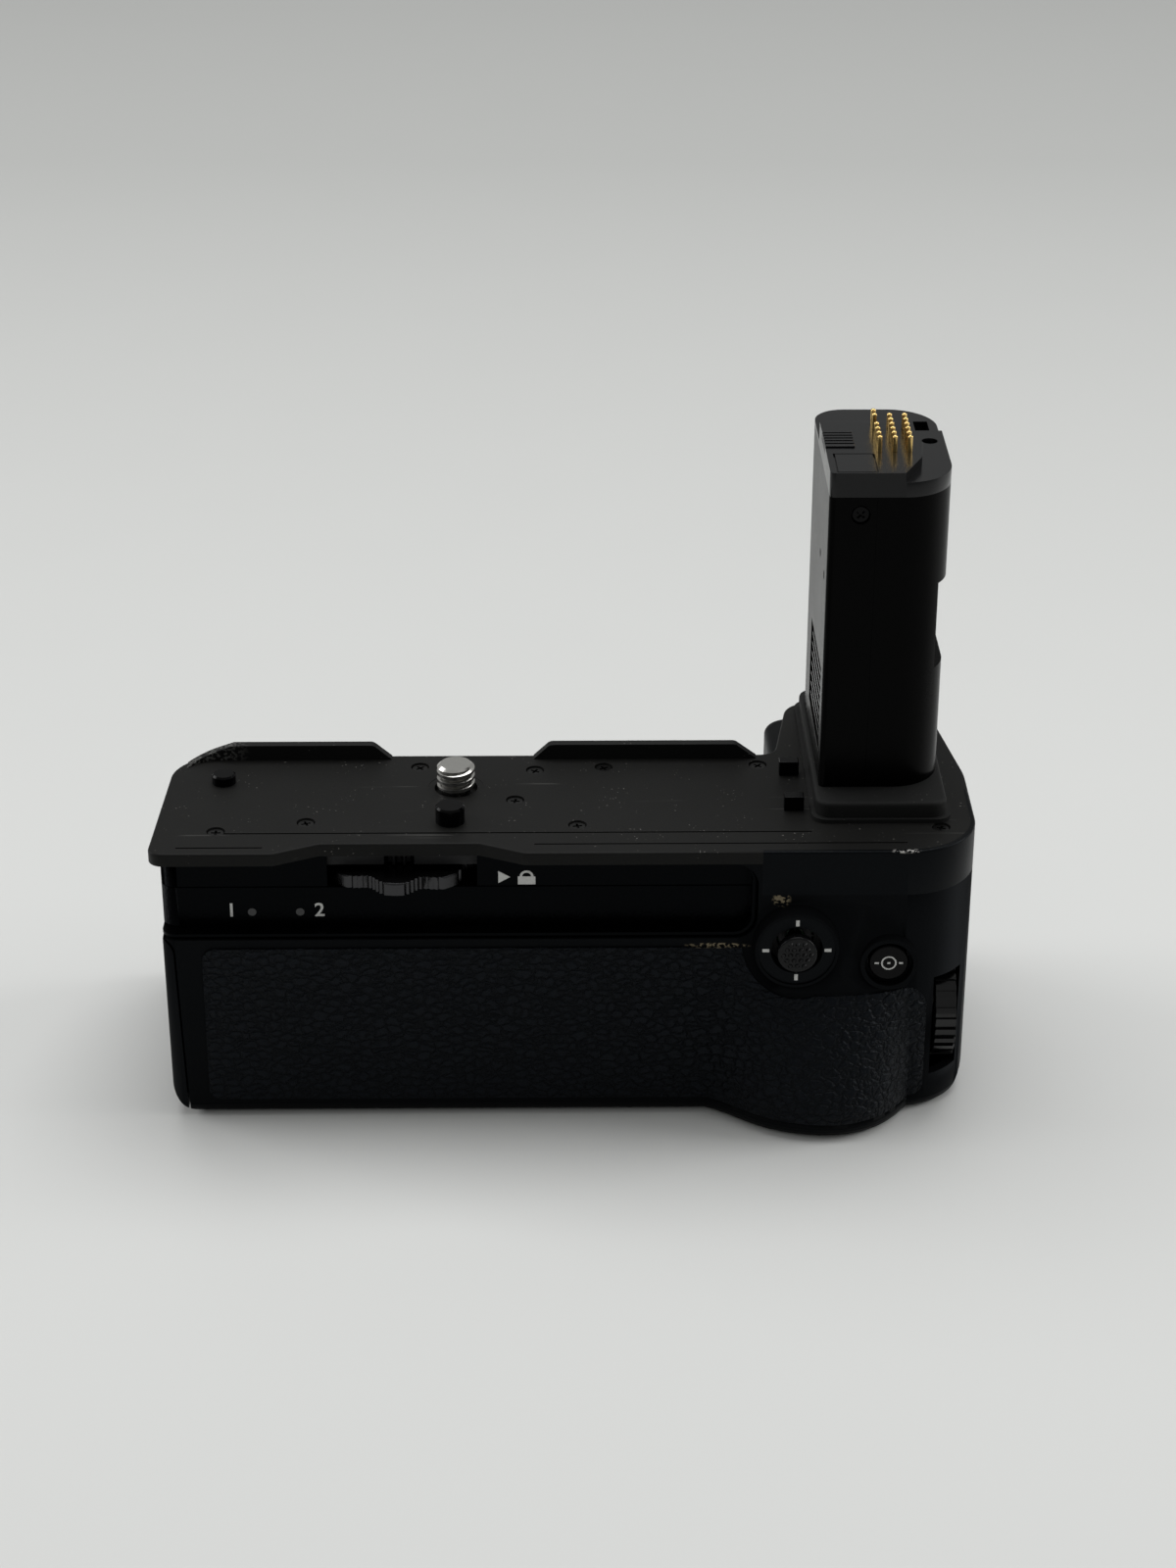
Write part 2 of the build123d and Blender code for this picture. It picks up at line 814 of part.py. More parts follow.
def front_openings():
    """The openings for the front dial, the shutter button and the two end buttons."""
    slot = box_between(front_dial_x - dial_width / 2 - dial_slot_margin,
                       front_dial_x + dial_width / 2 + dial_slot_margin,
                       front_dial_y, hand_depth + overrun,
                       front_dial_z - front_slot_height / 2, front_dial_z + front_slot_height / 2)
    face = rod((shutter_face_x, shutter_y, shutter_z), (1, 0, 0), shutter_boss_radius, overrun)
    bore = rod((shutter_face_x - shutter_boss_depth - overrun, shutter_y, shutter_z), (1, 0, 0),
               lever_sleeve + shaft_play * 2, overrun * 2)
    openings = slot + face + bore
    for place_z in side_button_levels():
        dish = rod((half - side_dish_depth, side_button_y, place_z), (1, 0, 0), side_dish_radius, overrun)
        hole = rod((half - overrun, side_button_y, place_z), (1, 0, 0),
                   side_button_radius + fit_gap, overrun * 2)
        openings = openings + dish + hole
    return openings


def side_button_levels():
    """Heights of the two end buttons."""
    return [side_button_z, side_button_z + side_button_pitch]


def shutter_boss():
    """The seat of the shutter button, inside the front right corner."""
    return rod((shutter_face_x - shutter_boss_depth, shutter_y, shutter_z), (1, 0, 0),
               shutter_boss_radius + shell_wall, shutter_boss_depth)


def make_shells():
    """The two casing shells and the base cover, cut from one closed form."""
    form = outer_form()
    inside = inner_form()
    inside = inside - box_between(cover_left_x - shell_wall, half, -overrun, cover_thickness + shell_wall,
                                  cover_low_z - shell_wall, plate_low_z)
    body = form
    for room in recess_cuts():
        body = body - room
    body = body + rear_bosses()
    body = body - inside
    body = body + (shutter_boss() & form)
    body = body - wheel_window() - rear_wells() - front_openings()
    body = body - cover_form() - leather_skin() - front_leather_skin() - door_block(door_gap)
    body = body - panel_form() - lamp_rods()
    base_region = box_between(-half - overrun, half + overrun, -overrun, hand_depth + overrun,
                              -overrun, base_thickness)
    rear_region = box_between(-half - overrun, half + overrun, -overrun, seam_y,
                              base_thickness, grip_height)
    front_region = box_between(-half - overrun, half + overrun, seam_y, hand_depth + overrun,
                               base_thickness, grip_height)
    base = (body & base_region) - socket_hole() - base_screw_holes()
    rear = largest(body & rear_region)
    front = largest(body & front_region)
    return base, rear, front


def largest(shape):
    """The largest solid of a cut."""
    return shape.solids().sort_by(SortBy.VOLUME)[-1]


def panel_form():
    """The lining of the recess: a back plate with a floor and a right wall."""
    low_z = recess_low_z - tub_wall
    back = face_prism([
        (body_left_x + recess_corner, panel_top_z, 0),
        (body_left_x + recess_corner, low_z, 0),
        (recess_right_x + tub_wall, low_z, recess_radius + tub_wall),
        (recess_right_x + tub_wall, panel_top_z, 0),
    ], recess_depth, recess_depth + panel_thickness)
    rim = recess_room(tub_wall, recess_depth, low_z) - recess_room(0, recess_depth, recess_low_z)
    rim = rim & plan_prism(offset(body_face(), -tub_front), 0, plate_low_z)
    return largest(back + rim)


def lamp_rods():
    """The two light guides of the battery lamps."""
    return [
        rod((lamp_left_x + index * lamp_pitch, recess_depth - moving_gap / 2, lamp_z), (0, 1, 0),
            lamp_radius, lamp_length)
        for index in range(2)
    ]


def make_recess_panel():
    """The lining with the lamp holes."""
    return panel_form() - lamp_rods()


def lip(shares):
    """One raised lip along the plate's front edge, with sloped ends."""
    low_left, high_left, high_right, low_right = [share * half for share in shares]
    ring = plate_face() - offset(plate_face(), -lip_thickness)
    wall = plan_prism(ring, grip_height, grip_height + lip_height)
    region = face_prism([
        (low_left, grip_height, 0),
        (high_left, grip_height + lip_height, lip_thickness),
        (high_right, grip_height + lip_height, lip_thickness),
        (low_right, grip_height, 0),
    ], plate_depth - plate_far_radius, plate_depth + overrun)
    return wall & region


def groove(left_x, right_x, y):
    """A shallow line cut in the plate's top."""
    return box_between(left_x, right_x, y - groove_width / 2, y + groove_width / 2,
                       grip_height - groove_depth, grip_height + overrun)


def stem_face(grow):
    """The stem's section, like a battery's with one rounded side."""
    face = rounded_face([
        (stem_left_x, stem_near_y, stem_left_radius),
        (stem_right_x, stem_near_y, stem_right_radius),
        (stem_right_x, stem_far_y, stem_right_radius),
        (stem_left_x, stem_far_y, stem_far_left_radius),
    ])
    return offset(face, grow) if grow else face


def make_top_plate():
    """The plate that meets the camera's base."""
    plate = plan_prism(plate_face(), plate_low_z, grip_height)
    plate = fillet(plate.edges().group_by(Axis.Z)[-1], plate_edge_round)
    plate = plate - rod((screw_x, screw_y, plate_low_z - overrun), (0, 0, 1), bush_radius, overrun * 2)
    plate = plate - rod((left_pin_x, left_pin_y, plate_low_z - overrun), (0, 0, 1),
                        left_pin_radius - pin_stem_step, overrun * 2)
    plate = plate - rod((centre_pin_x, centre_pin_y, plate_low_z - overrun), (0, 0, 1),
                        centre_pin_radius - pin_stem_step, overrun * 2)
    plate = plate - plan_prism(stem_face(fit_gap), plate_low_z - overrun, grip_height + overrun)
    plate = plate - groove(main_groove_left_x, main_groove_right_x, main_groove_y)
    plate = plate - groove(left_groove_left_x, left_groove_right_x, left_groove_y)
    plate = plate - groove(right_groove_left_x, right_groove_right_x, right_groove_y)
    for x, y in plate_screw_places:
        plate = plate - screw_seat((x, y, grip_height), (0, 0, 1))
    return plate - cover_form()


def screw_seat(top, direction):
    """The sunk space of one small screw, a little wider than its head."""
    axis = Vector(*direction)
    depth = screw_head_height + screw_sink
    start = Vector(*top) - axis * (plate_screw_length + depth)
    shank = rod(start, direction, screw_shank_radius, plate_screw_length + overrun)
    head = rod(Vector(*top) - axis * depth, direction, screw_head_radius + screw_seat_gap, overrun)
    return shank + head


def small_screw(top, direction, length, turn):
    """A small cross-head screw whose head lies just below a surface."""
    axis = Vector(*direction)
    head_top = Vector(*top) - axis * screw_sink
    seat = head_top - axis * screw_head_height
    head = rod(seat, direction, screw_head_radius, screw_head_height)
    shank = rod(seat - axis * length, direction, screw_shank_radius, length)
    place = Plane(origin=head_top, z_dir=direction)
    cross = Box(cross_length, cross_width, cross_depth * 2) + Box(cross_width, cross_length, cross_depth * 2)
    return head + shank - place * (Rot(0, 0, turn) * cross)


def make_plate_screws():
    """The nine screws of the top plate."""
    screws = []
    for index, (x, y) in enumerate(plate_screw_places):
        turn = index * 360 / wheel_lobes / 2
        screws.append(small_screw((x, y, grip_height), (0, 0, 1), plate_screw_length, turn))
    return joined(screws)


def base_screw_holes():
    """Holes for the base screws."""
    return [screw_seat((x, y, 0), (0, 0, -1)) for x, y in base_screw_places]


def make_base_screws():
    """The screws that hold the base cover to the battery bay."""
    return joined([
        small_screw((x, y, 0), (0, 0, -1), base_screw_length, x)
        for x, y in base_screw_places
    ])


def make_inner_frame():
    """The stiff frame below the top plate, which the plate screws hold."""
    face = offset(body_face(), -shell_wall - fit_gap)
    frame = plan_prism(face, frame_low_z, frame_top_z)
    frame = frame - box_between(-half, recess_wall_right_x + fit_gap, -overrun,
                                recess_depth + shell_wall + fit_gap, 0, grip_height)
    frame = frame - box_between(recess_right_x, half, -overrun,
                                cover_thickness + shell_wall + fit_gap, 0, grip_height)
    frame = frame - plan_prism(stem_face(fit_gap), frame_low_z - overrun, frame_top_z + overrun)
    wheel_room = gear_module * wheel_gear_teeth / 2 + gear_module * 2
    screw_room = bush_radius + screw_radius
    frame = frame - rod((wheel_x, wheel_y, 0), (0, 0, 1), wheel_room, grip_height)
    frame = frame - rod((screw_x, screw_y, 0), (0, 0, 1), screw_room, grip_height)
    frame = frame - rod((left_pin_x, left_pin_y, 0), (0, 0, 1), left_pin_radius, grip_height)
    for x, y in plate_screw_places:
        frame = frame - screw_seat((x, y, grip_height), (0, 0, 1))
    return largest(frame)


def make_locating_pin(x, y, radius, proud):
    """A round pin that finds its hole in the camera's base, on a thinner stem in the plate."""
    pin = rod((x, y, grip_height), (0, 0, 1), radius, proud)
    pin = chamfer(pin.edges().group_by(Axis.Z)[-1], pin_chamfer)
    stem = rod((x, y, plate_low_z), (0, 0, 1), radius - pin_stem_step, plate_thickness)
    return pin + stem


def make_lugs():
    """Two small square lugs beside the collar."""
    lugs = []
    for y in (lug_near_y, lug_far_y):
        lugs.append(box_between(lug_left_x, lug_left_x + lug_width, y, y + lug_depth,
                                grip_height, grip_height + lug_height))
    return joined(lugs)


def gear(teeth, turn, bore, low_z, x, y):
    """A flat spur gear with straight-sided teeth."""
    pitch_radius = gear_module * teeth / 2
    tip = pitch_radius + gear_module * gear_addendum_share
    root = pitch_radius - gear_module * gear_dedendum_share
    step = 360 / teeth
    points = []
    for tooth in range(teeth):
        middle = turn + tooth * step
        for radius, share in ((root, -gear_root_share), (tip, -gear_tip_share),
                              (tip, gear_tip_share), (root, gear_root_share)):
            angle = math.radians(middle + step * share)
            points.append((radius * math.cos(angle), radius * math.sin(angle)))
    blank = extrude(make_face(Polyline(*points, close=True)), gear_thickness)
    blank = blank - Cylinder(bore, overrun)
    return Pos(x, y, low_z) * blank


def wheel_profile():
    """The lock wheel's lobed and ridged edge."""
    points = []
    count = wheel_lobes * wheel_ridges * 2
    for index in range(count):
        angle = 2 * math.pi * index / count
        lobe = ((1 - math.cos(wheel_lobes * angle)) / 2) ** 2
        ridge = wheel_ridge_depth if index % 2 and lobe > wheel_smooth_share else 0
        radius = wheel_radius - wheel_lobe_depth * lobe - ridge
        points.append((radius * math.cos(angle), radius * math.sin(angle)))
    return make_face(Polyline(*points, close=True))


def make_lock_wheel():
    """The wheel that the user turns to fasten the grip to the camera."""
    disc = extrude(wheel_profile(), wheel_thickness)
    edge = Cylinder(wheel_radius, wheel_thickness, align=(Align.CENTER, Align.CENTER, Align.MIN))
    disc = disc & chamfer(edge.edges().group_by(Axis.Z)[-1], wheel_edge)
    hub = Cylinder(wheel_hub_radius, wheel_thickness + gear_gap,
                   align=(Align.CENTER, Align.CENTER, Align.MIN))
    wheel = disc + hub - Cylinder(spindle_radius + shaft_play, overrun)
    first_lobe = -90 - wheel_first_lobe_share * 360 / wheel_lobes
    return Pos(wheel_x, wheel_y, wheel_low_z) * (Rot(0, 0, first_lobe) * wheel)


def make_wheel_gear():
    """The gear fixed on the lock wheel."""
    return gear(wheel_gear_teeth, gear_line, spindle_radius + shaft_play, gear_low_z, wheel_x, wheel_y)


def make_screw_gear():
    """The gear fixed on the tripod screw."""
    half_tooth = 180 / screw_gear_teeth
    turn = gear_line + 180 + half_tooth
    return gear(screw_gear_teeth, turn, screw_core_radius, gear_low_z, screw_x, screw_y)


def make_spindle():
    """The fixed spindle of the lock wheel, held by its bracket."""
    length = frame_top_z - fit_gap - bracket_low_z
    return rod((wheel_x, wheel_y, bracket_low_z), (0, 0, 1), spindle_radius, length)


def bracket_posts():
    """Places of the posts that hang the lock bracket from the frame."""
    return [plate_screw_places[2], plate_screw_places[4], (bracket_post_x, bracket_post_y)]


def make_lock_bracket():
    """The plate below the lock wheel, hung from the frame by three posts."""
    corners = [(x, y, bracket_post_radius) for x, y in bracket_posts()]
    corners.append((wheel_x, wheel_y - bracket_tip, bracket_post_radius))
    middle_x = sum(x for x, y, radius in corners) / len(corners)
    middle_y = sum(y for x, y, radius in corners) / len(corners)
    corners.sort(key=lambda c: math.atan2(c[1] - middle_y, c[0] - middle_x))
    outline = offset(make_face(Polyline(*[(x, y) for x, y, radius in corners], close=True)),
                     bracket_post_radius)
    plate = plan_prism(outline, bracket_low_z, bracket_low_z + bracket_thickness)
    for x, y in bracket_posts():
        plate = plate + rod((x, y, bracket_low_z), (0, 0, 1), bracket_post_radius,
                            frame_low_z - bracket_low_z)
    plate = plate - rod((wheel_x, wheel_y, 0), (0, 0, 1), spindle_radius, grip_height)
    for x, y in plate_screw_places:
        plate = plate - screw_seat((x, y, grip_height), (0, 0, 1))
    return plate


def make_screw_bush():
    """The ring in the plate that guides the tripod screw."""
    length = plate_thickness - bush_sink
    ring = rod((screw_x, screw_y, plate_low_z), (0, 0, 1), bush_radius, length)
    ring = ring - rod((screw_x, screw_y, 0), (0, 0, 1), screw_core_radius + shaft_play, grip_height * 2)
    return ring - rod((screw_x, screw_y, plate_low_z + bush_land), (0, 0, 1), screw_radius + bush_gap,
                      grip_height)


def make_tripod_screw():
    """The steel screw that pulls the grip to the camera, with its thread."""
    flange_z = gear_low_z + gear_thickness
    flange = rod((0, 0, flange_z), (0, 0, 1), bush_radius - fit_gap, plate_low_z - flange_z - moving_gap)
    top_z = grip_height + screw_proud
    start_z = grip_height + screw_smooth
    core = rod((0, 0, gear_low_z), (0, 0, 1), screw_core_radius, start_z - gear_low_z)
    spare = thread_spare_turns * screw_pitch
    blank = rod((0, 0, start_z - spare), (0, 0, 1), screw_radius, top_z - start_z + spare * 2)
    blank = blank - thread_groove(start_z, top_z)
    envelope = rod((0, 0, start_z), (0, 0, 1), screw_radius, top_z - start_z)
    envelope = chamfer(envelope.edges().group_by(Axis.Z)[-1], screw_chamfer)
    return Pos(screw_x, screw_y, 0) * (core + flange + (blank & envelope))


def thread_groove(low_z, high_z):
    """The screw's groove, swept along a helix that starts and ends outside the metal."""
    path = Pos(0, 0, low_z - screw_pitch) * Helix(pitch=screw_pitch, height=high_z - low_z + screw_pitch * 2,
                                                  radius=screw_radius)
    width = screw_pitch * thread_groove_share
    bottom = width * thread_bottom_share
    outline = [(-screw_groove, -bottom), (-screw_groove, bottom),
               (screw_groove / 2, width), (screw_groove / 2, -width)]
    place = Plane(origin=path @ 0, x_dir=(1, 0, 0), z_dir=path % 0)
    return sweep(place * make_face(Polyline(*outline, close=True)), path=path, is_frenet=True)


def rib_marks(low_y, high_y, count):
    """Evenly spaced places of small grooves."""
    step = (high_y - low_y) / (count + 1)
    return [low_y + step * (index + 1) for index in range(count)]


def make_stem_shells():
    """The two halves of the hollow stem."""
    tube = plan_prism(stem_face(0), stem_foot_z, stem_top_z)
    foot_face = stem_face(stem_foot_margin)
    foot = plan_prism(foot_face, stem_foot_z, stem_foot_z + stem_foot_height)
    foot = foot & plan_prism(offset(body_face(), -shell_wall - fit_gap), 0, grip_height)
    body = tube + foot
    body = body - plan_prism(stem_face(-stem_wall), 0, stem_top_z + overrun)
    body = body - box_between(stem_right_x - stem_notch_depth, stem_right_x + overrun,
                              stem_near_y, stem_far_y + overrun, stem_notch_low, stem_notch_high)
    floor = plan_prism(stem_face(-stem_wall), stem_notch_low, stem_notch_high)
    side = box_between(stem_right_x - stem_notch_depth - stem_wall, stem_right_x - stem_notch_depth,
                       stem_near_y, stem_far_y, stem_notch_low, stem_notch_high)
    body = body + (floor & side)
    body = body - box_between(stem_left_x - overrun, stem_left_x + stem_label_depth,
                              stem_label_near, stem_label_near + stem_label_length,
                              stem_label_low, stem_label_high)
    for along_share, up_share in stem_hole_shares:
        y = stem_near_y + along_share * stem_depth
        z = stem_foot_z + up_share * (stem_top_z - stem_foot_z)
        body = body - rod((stem_left_x - overrun, y, z), (1, 0, 0), stem_hole_radius, overrun + stem_wall)
    body = body - stem_screw_space()
    left = body & box_between(-half, stem_split_x, 0, half * 2, 0, stem_top_z)
    right = body & box_between(stem_split_x, half, 0, half * 2, 0, stem_top_z)
    return largest(left), largest(right)


def stem_screw_space():
    """The seat of the screw in the stem's near face."""
    return screw_seat((stem_screw_x, stem_near_y, stem_screw_z), (0, -1, 0))


def make_stem_screw():
    """The screw that holds the cap to the stem."""
    top = (stem_screw_x, stem_near_y, stem_screw_z)
    return small_screw(top, (0, -1, 0), plate_screw_length, stem_screw_x)


def contact_places():
    """Places of the sprung contacts, in three rows with one gap."""
    places = []
    for column in range(contact_columns):
        rows = contact_rows_other if column else contact_rows_left
        for row in rows:
            places.append((contact_left_x + column * contact_pitch_x,
                           contact_near_y + row * contact_pitch_y))
    return places


def contact_block_sides():
    """The contact block's sides in X and Y."""
    last_y = contact_near_y + contact_pitch_y * max(contact_rows_left)
    last_x = contact_left_x + contact_pitch_x * (contact_columns - 1)
    return (contact_left_x - contact_block_margin, last_x + contact_block_margin,
            contact_near_y - contact_block_margin, last_y + contact_block_margin)


def make_contact_block():
    """The block that guides the contacts."""
    x0, x1, y0, y1 = contact_block_sides()
    block = box_between(x0, x1, y0, y1, cap_top_z - contact_block_height, cap_top_z)
    for x, y in contact_places():
        block = block - rod((x, y, stem_top_z - overrun), (0, 0, 1), contact_radius + shaft_play, overrun * 2)
    return block


def make_contact_board():
    """The small board under the contacts."""
    x0, x1, y0, y1 = contact_block_sides()
    high = cap_top_z - contact_block_height
    return box_between(x0, x1, y0, y1, high - board_thickness, high)


def make_contact_pins():
    """The sprung contacts that stand out of the stem's top."""
    pins = []
    for x, y in contact_places():
        low_z = cap_top_z + contact_proud - contact_length
        pin = rod((x, y, low_z), (0, 0, 1), contact_radius, contact_length)
        pin = fillet(pin.edges().group_by(Axis.Z)[-1], contact_radius * contact_tip_share)
        pins.append(pin)
    return joined(pins)


def plateau_face():
    """The raised part of the cap that carries the contacts."""
    return rounded_face([
        (stem_left_x, stem_near_y, stem_left_radius),
        (stem_left_x + cap_facet_across, stem_near_y, 0),
        (stem_left_x + cap_plateau_width, stem_near_y + cap_facet_depth, 0),
        (stem_left_x + cap_plateau_width, cap_plateau_far_y, 0),
        (stem_left_x, cap_plateau_far_y, 0),
    ])


def rib_block_form():
    """The ribbed block at the cap's left edge."""
    block = box_between(stem_left_x, stem_left_x + rib_block_width, rib_block_near_y, rib_block_far_y,
                        cap_top_z - rib_block_depth, cap_top_z + rib_block_height)
    return block


def make_rib_block():
    """The ribbed finger block, with its grooves."""
    block = rib_block_form()
    for y in rib_marks(rib_block_near_y, rib_block_far_y, rib_count):
        top = box_between(stem_left_x, stem_left_x + rib_block_width, y - rib_groove / 2,
                          y + rib_groove / 2, cap_top_z, cap_top_z + overrun)
        side = box_between(stem_left_x, stem_left_x + rib_block_height, y - rib_groove / 2,
                           y + rib_groove / 2, stem_top_z, cap_top_z + overrun)
        block = block - top - side
    return block


def make_stem_cap():
    """The cap that closes the stem, with its raised contact area and rear rim."""
    lobe = plan_prism(stem_face(0), stem_top_z, stem_top_z + cap_lobe_height)
    rear_low = box_between(stem_left_x - overrun, half, cap_plateau_far_y, stem_far_y + overrun,
                           stem_top_z + cap_rim_height, cap_top_z)
    cap = lobe - rear_low
    cap = cap + plan_prism(plateau_face(), stem_top_z, cap_top_z)
    trench = box_between(stem_left_x + stem_wall, stem_right_x - stem_wall, cap_plateau_far_y,
                         cap_trench_far_y, stem_top_z + cap_rim_height - cap_trench_depth, cap_top_z)
    cap = cap + plan_prism(stem_face(-stem_wall - fit_gap), stem_top_z - stem_wall, stem_top_z)
    cap = cap - trench
    panel_far_y = stem_near_y + cap_panel_length
    panel_outer = box_between(stem_left_x + stem_left_radius, stem_split_x, stem_near_y + cap_panel_gap,
                              panel_far_y, cap_top_z - cap_panel_depth, cap_top_z + overrun)
    panel_inner = box_between(stem_left_x + stem_left_radius + cap_panel_gap, stem_split_x - cap_panel_gap,
                              stem_near_y + cap_panel_gap * 2, panel_far_y - cap_panel_gap,
                              cap_top_z - cap_panel_depth, cap_top_z + overrun)
    cap = cap - (panel_outer - panel_inner)
    hole = (stem_left_x + cap_hole_across, stem_near_y + cap_hole_along, stem_top_z)
    cap = cap - rod(hole, (0, 0, 1), cap_hole_radius, overrun)
    x0, x1, y0, y1 = contact_block_sides()
    cap = cap - box_between(x0, x1, y0, y1, stem_top_z - overrun, cap_top_z + overrun)
    cap = cap - rib_block_form() - stem_screw_space()
    return largest(cap)


def make_stem_ribbon():
    """The flat cable from the contacts down into the body."""
    low = bay_top_z + fit_gap + board_thickness
    high = cap_top_z - contact_block_height - board_thickness
    return box_between(ribbon_x, ribbon_x + ribbon_thickness, contact_near_y, contact_near_y + ribbon_width,
                       low, high)


def collar_face(grow):
    """The rubber collar's outline."""
    right = stem_right_x + collar_side
    far = stem_far_y + collar_far
    return rounded_face([
        (stem_left_x - collar_side - grow, collar_near_y - grow, collar_corner),
        (right + grow, collar_near_y - grow, collar_corner),
        (right + grow, far + grow, stem_right_radius),
        (stem_left_x - collar_side - grow, far + grow, collar_corner),
    ])


def make_collar():
    """The rubber collar round the stem's foot."""
    body = plan_prism(collar_face(0), grip_height, grip_height + collar_height)
    body = fillet(body.edges().group_by(Axis.Z)[-1], collar_round)
    bead = plan_prism(collar_face(collar_bead), grip_height, grip_height + collar_bead_height)
    bead = bead & plan_prism(offset(plate_face(), -plate_edge_round), grip_height, grip_height * 2)
    return body + bead - plan_prism(stem_face(0), 0, stem_top_z)


def make_stick_ring():
    """The ring round the joystick."""
    front_y = stick_plane_y + stick_ring_sink
    ring = rod((stick_x, front_y, stick_z), (0, 1, 0), stick_ring_radius, stick_ring_thickness)
    return ring - rod((stick_x, front_y - overrun, stick_z), (0, 1, 0), stick_well_radius, overrun * 2)


def make_stick_module():
    """The square frame behind the joystick that carries its gimbal."""
    block = Pos(stick_x, pivot_y, stick_z) * Box(module_size, module_thickness, module_size)
    block = block - rod((stick_x, pivot_y - overrun, stick_z), (0, 1, 0), module_hole_radius, overrun * 2)
    pin_hole = rod((stick_x - module_size / 2 + stick_ring_sink, pivot_y, stick_z), (1, 0, 0),
                   gimbal_pin_radius + shaft_play, module_size - stick_ring_sink * 2)
    return block - pin_hole


def make_gimbal():
    """The ring that tilts up and down."""
    ring = rod((stick_x, pivot_y - gimbal_thickness / 2, stick_z), (0, 1, 0), gimbal_outer, gimbal_thickness)
    ring = ring - rod((stick_x, pivot_y - overrun, stick_z), (0, 1, 0), gimbal_inner, overrun * 2)
    reach = module_size / 2 - stick_ring_sink * 2
    pin_length = reach - (gimbal_inner + gimbal_outer) / 2
    for side in (-1, 1):
        start = (stick_x + side * (gimbal_inner + gimbal_outer) / 2, pivot_y, stick_z)
        ring = ring + rod(start, (side, 0, 0), gimbal_pin_radius, pin_length)
    hole = rod((stick_x, pivot_y, stick_z - gimbal_outer), (0, 0, 1), gimbal_pin_radius + shaft_play,
               gimbal_outer * 2)
    return ring - hole


def make_stick_post():
    """The joystick's post, which tilts sideways in the gimbal."""
    ball = Pos(stick_x, pivot_y, stick_z) * Sphere(gimbal_ball_radius)
    pin = rod((stick_x, pivot_y, stick_z - gimbal_outer + stick_ring_sink), (0, 0, 1), gimbal_pin_radius,
              (gimbal_outer - stick_ring_sink) * 2)
    cap_back = stick_plane_y - stick_cap_proud + stick_cap_thickness
    length = pivot_y - cap_back - stick_press - fit_gap
    neck = rod((stick_x, pivot_y, stick_z), (0, -1, 0), stick_neck_radius, length)
    tip = rod((stick_x, pivot_y - length, stick_z), (0, -1, 0), gimbal_pin_radius * 2,
              stick_press + fit_gap + stick_cap_thickness / 2)
    return ball + pin + neck + tip


def stud_places():
    """Places of the small studs on the joystick's cap."""
    places = []
    reach = int(stick_cap_radius / stick_stud_pitch) + 1
    for row in range(-reach, reach + 1):
        for column in range(-reach, reach + 1):
            x = (column + (row % 2) / 2) * stick_stud_pitch
            z = row * stick_stud_pitch * stud_row_share
            if math.hypot(x, z) < stick_cap_radius - stick_stud:
                places.append((x, z))
    return places


def make_stick_cap():
    """The joystick's studded cap."""
    front_y = stick_plane_y - stick_cap_proud
    cap = rod((stick_x, front_y + stick_cap_thickness, stick_z), (0, -1, 0), stick_cap_radius,
              stick_cap_thickness)
    cap = fillet(cap.edges().group_by(Axis.Y)[0], stick_cap_round)
    for x, z in stud_places():
        cap = cap + taper_rod((stick_x + x, front_y, stick_z + z), (0, -1, 0), stick_stud,
                              stick_stud / 2, stick_stud_height)
    socket_depth = stick_press + stick_cap_thickness / 2
    socket = rod((stick_x, front_y + stick_cap_thickness, stick_z), (0, -1, 0),
                 gimbal_pin_radius * 2 + shaft_play, socket_depth)
    return cap - socket


def make_function_button():
    """The round button beside the joystick."""
    front_y = -button_rim_front + button_cap_sink
    back_y = button_back()
    cap = rod((button_x, back_y, button_z), (0, -1, 0), button_cap_radius, back_y - front_y)
    cap = fillet(cap.edges().group_by(Axis.Y)[0], button_cap_round)
    flange = rod((button_x, back_y, button_z), (0, -1, 0), button_cap_radius + button_flange,
                 button_flange_thickness)
    return cap + flange


def button_back():
    """Where the function button stops inside, just behind its shelf."""
    return -button_shelf_front + button_shelf_thickness + fit_gap + button_flange_thickness


def switch_at(start, direction, length):
    """A small push switch on a board."""
    place = Plane(origin=start, z_dir=direction)
    return place * Box(switch_size, switch_size, length, align=(Align.CENTER, Align.CENTER, Align.MIN))


def make_switches():
    """The small switches behind the buttons."""
    room = control_board_y - button_back() - button_travel - moving_gap
    switches = [switch_at((button_x, control_board_y, button_z), (0, -1, 0), room)]
    back_x = side_button_back() - side_travel - moving_gap
    for z in side_button_levels():
        start = (side_board_x + board_thickness, side_button_y, z)
        switches.append(switch_at(start, (1, 0, 0), back_x - side_board_x - board_thickness))
    shutter_back = shutter_face_x + lever_thickness + moving_gap + shutter_proud - shutter_cap_length
    start_x = front_bracket_left() + dial_bracket_thickness
    room = shutter_back - shutter_travel - moving_gap - start_x
    switches.append(switch_at((start_x, shutter_y, shutter_z), (1, 0, 0), room))
    return switches


def make_control_board():
    """The board behind the joystick and the function button."""
    return box_between(control_board_left_x, control_board_right_x, control_board_y,
                       control_board_y + board_thickness, control_board_low_z, control_board_top_z)


def make_side_board():
    """The board behind the two end buttons."""
    return box_between(side_board_x, side_board_x + board_thickness, side_board_near_y, side_board_far_y,
                       base_thickness, side_board_top_z)


def make_main_board():
    """The main circuit board on the battery bay."""
    low = bay_top_z + fit_gap
    return box_between(-half + main_board_inset, half - main_board_inset, main_board_near_y,
                       main_board_far_y, low, low + board_thickness)


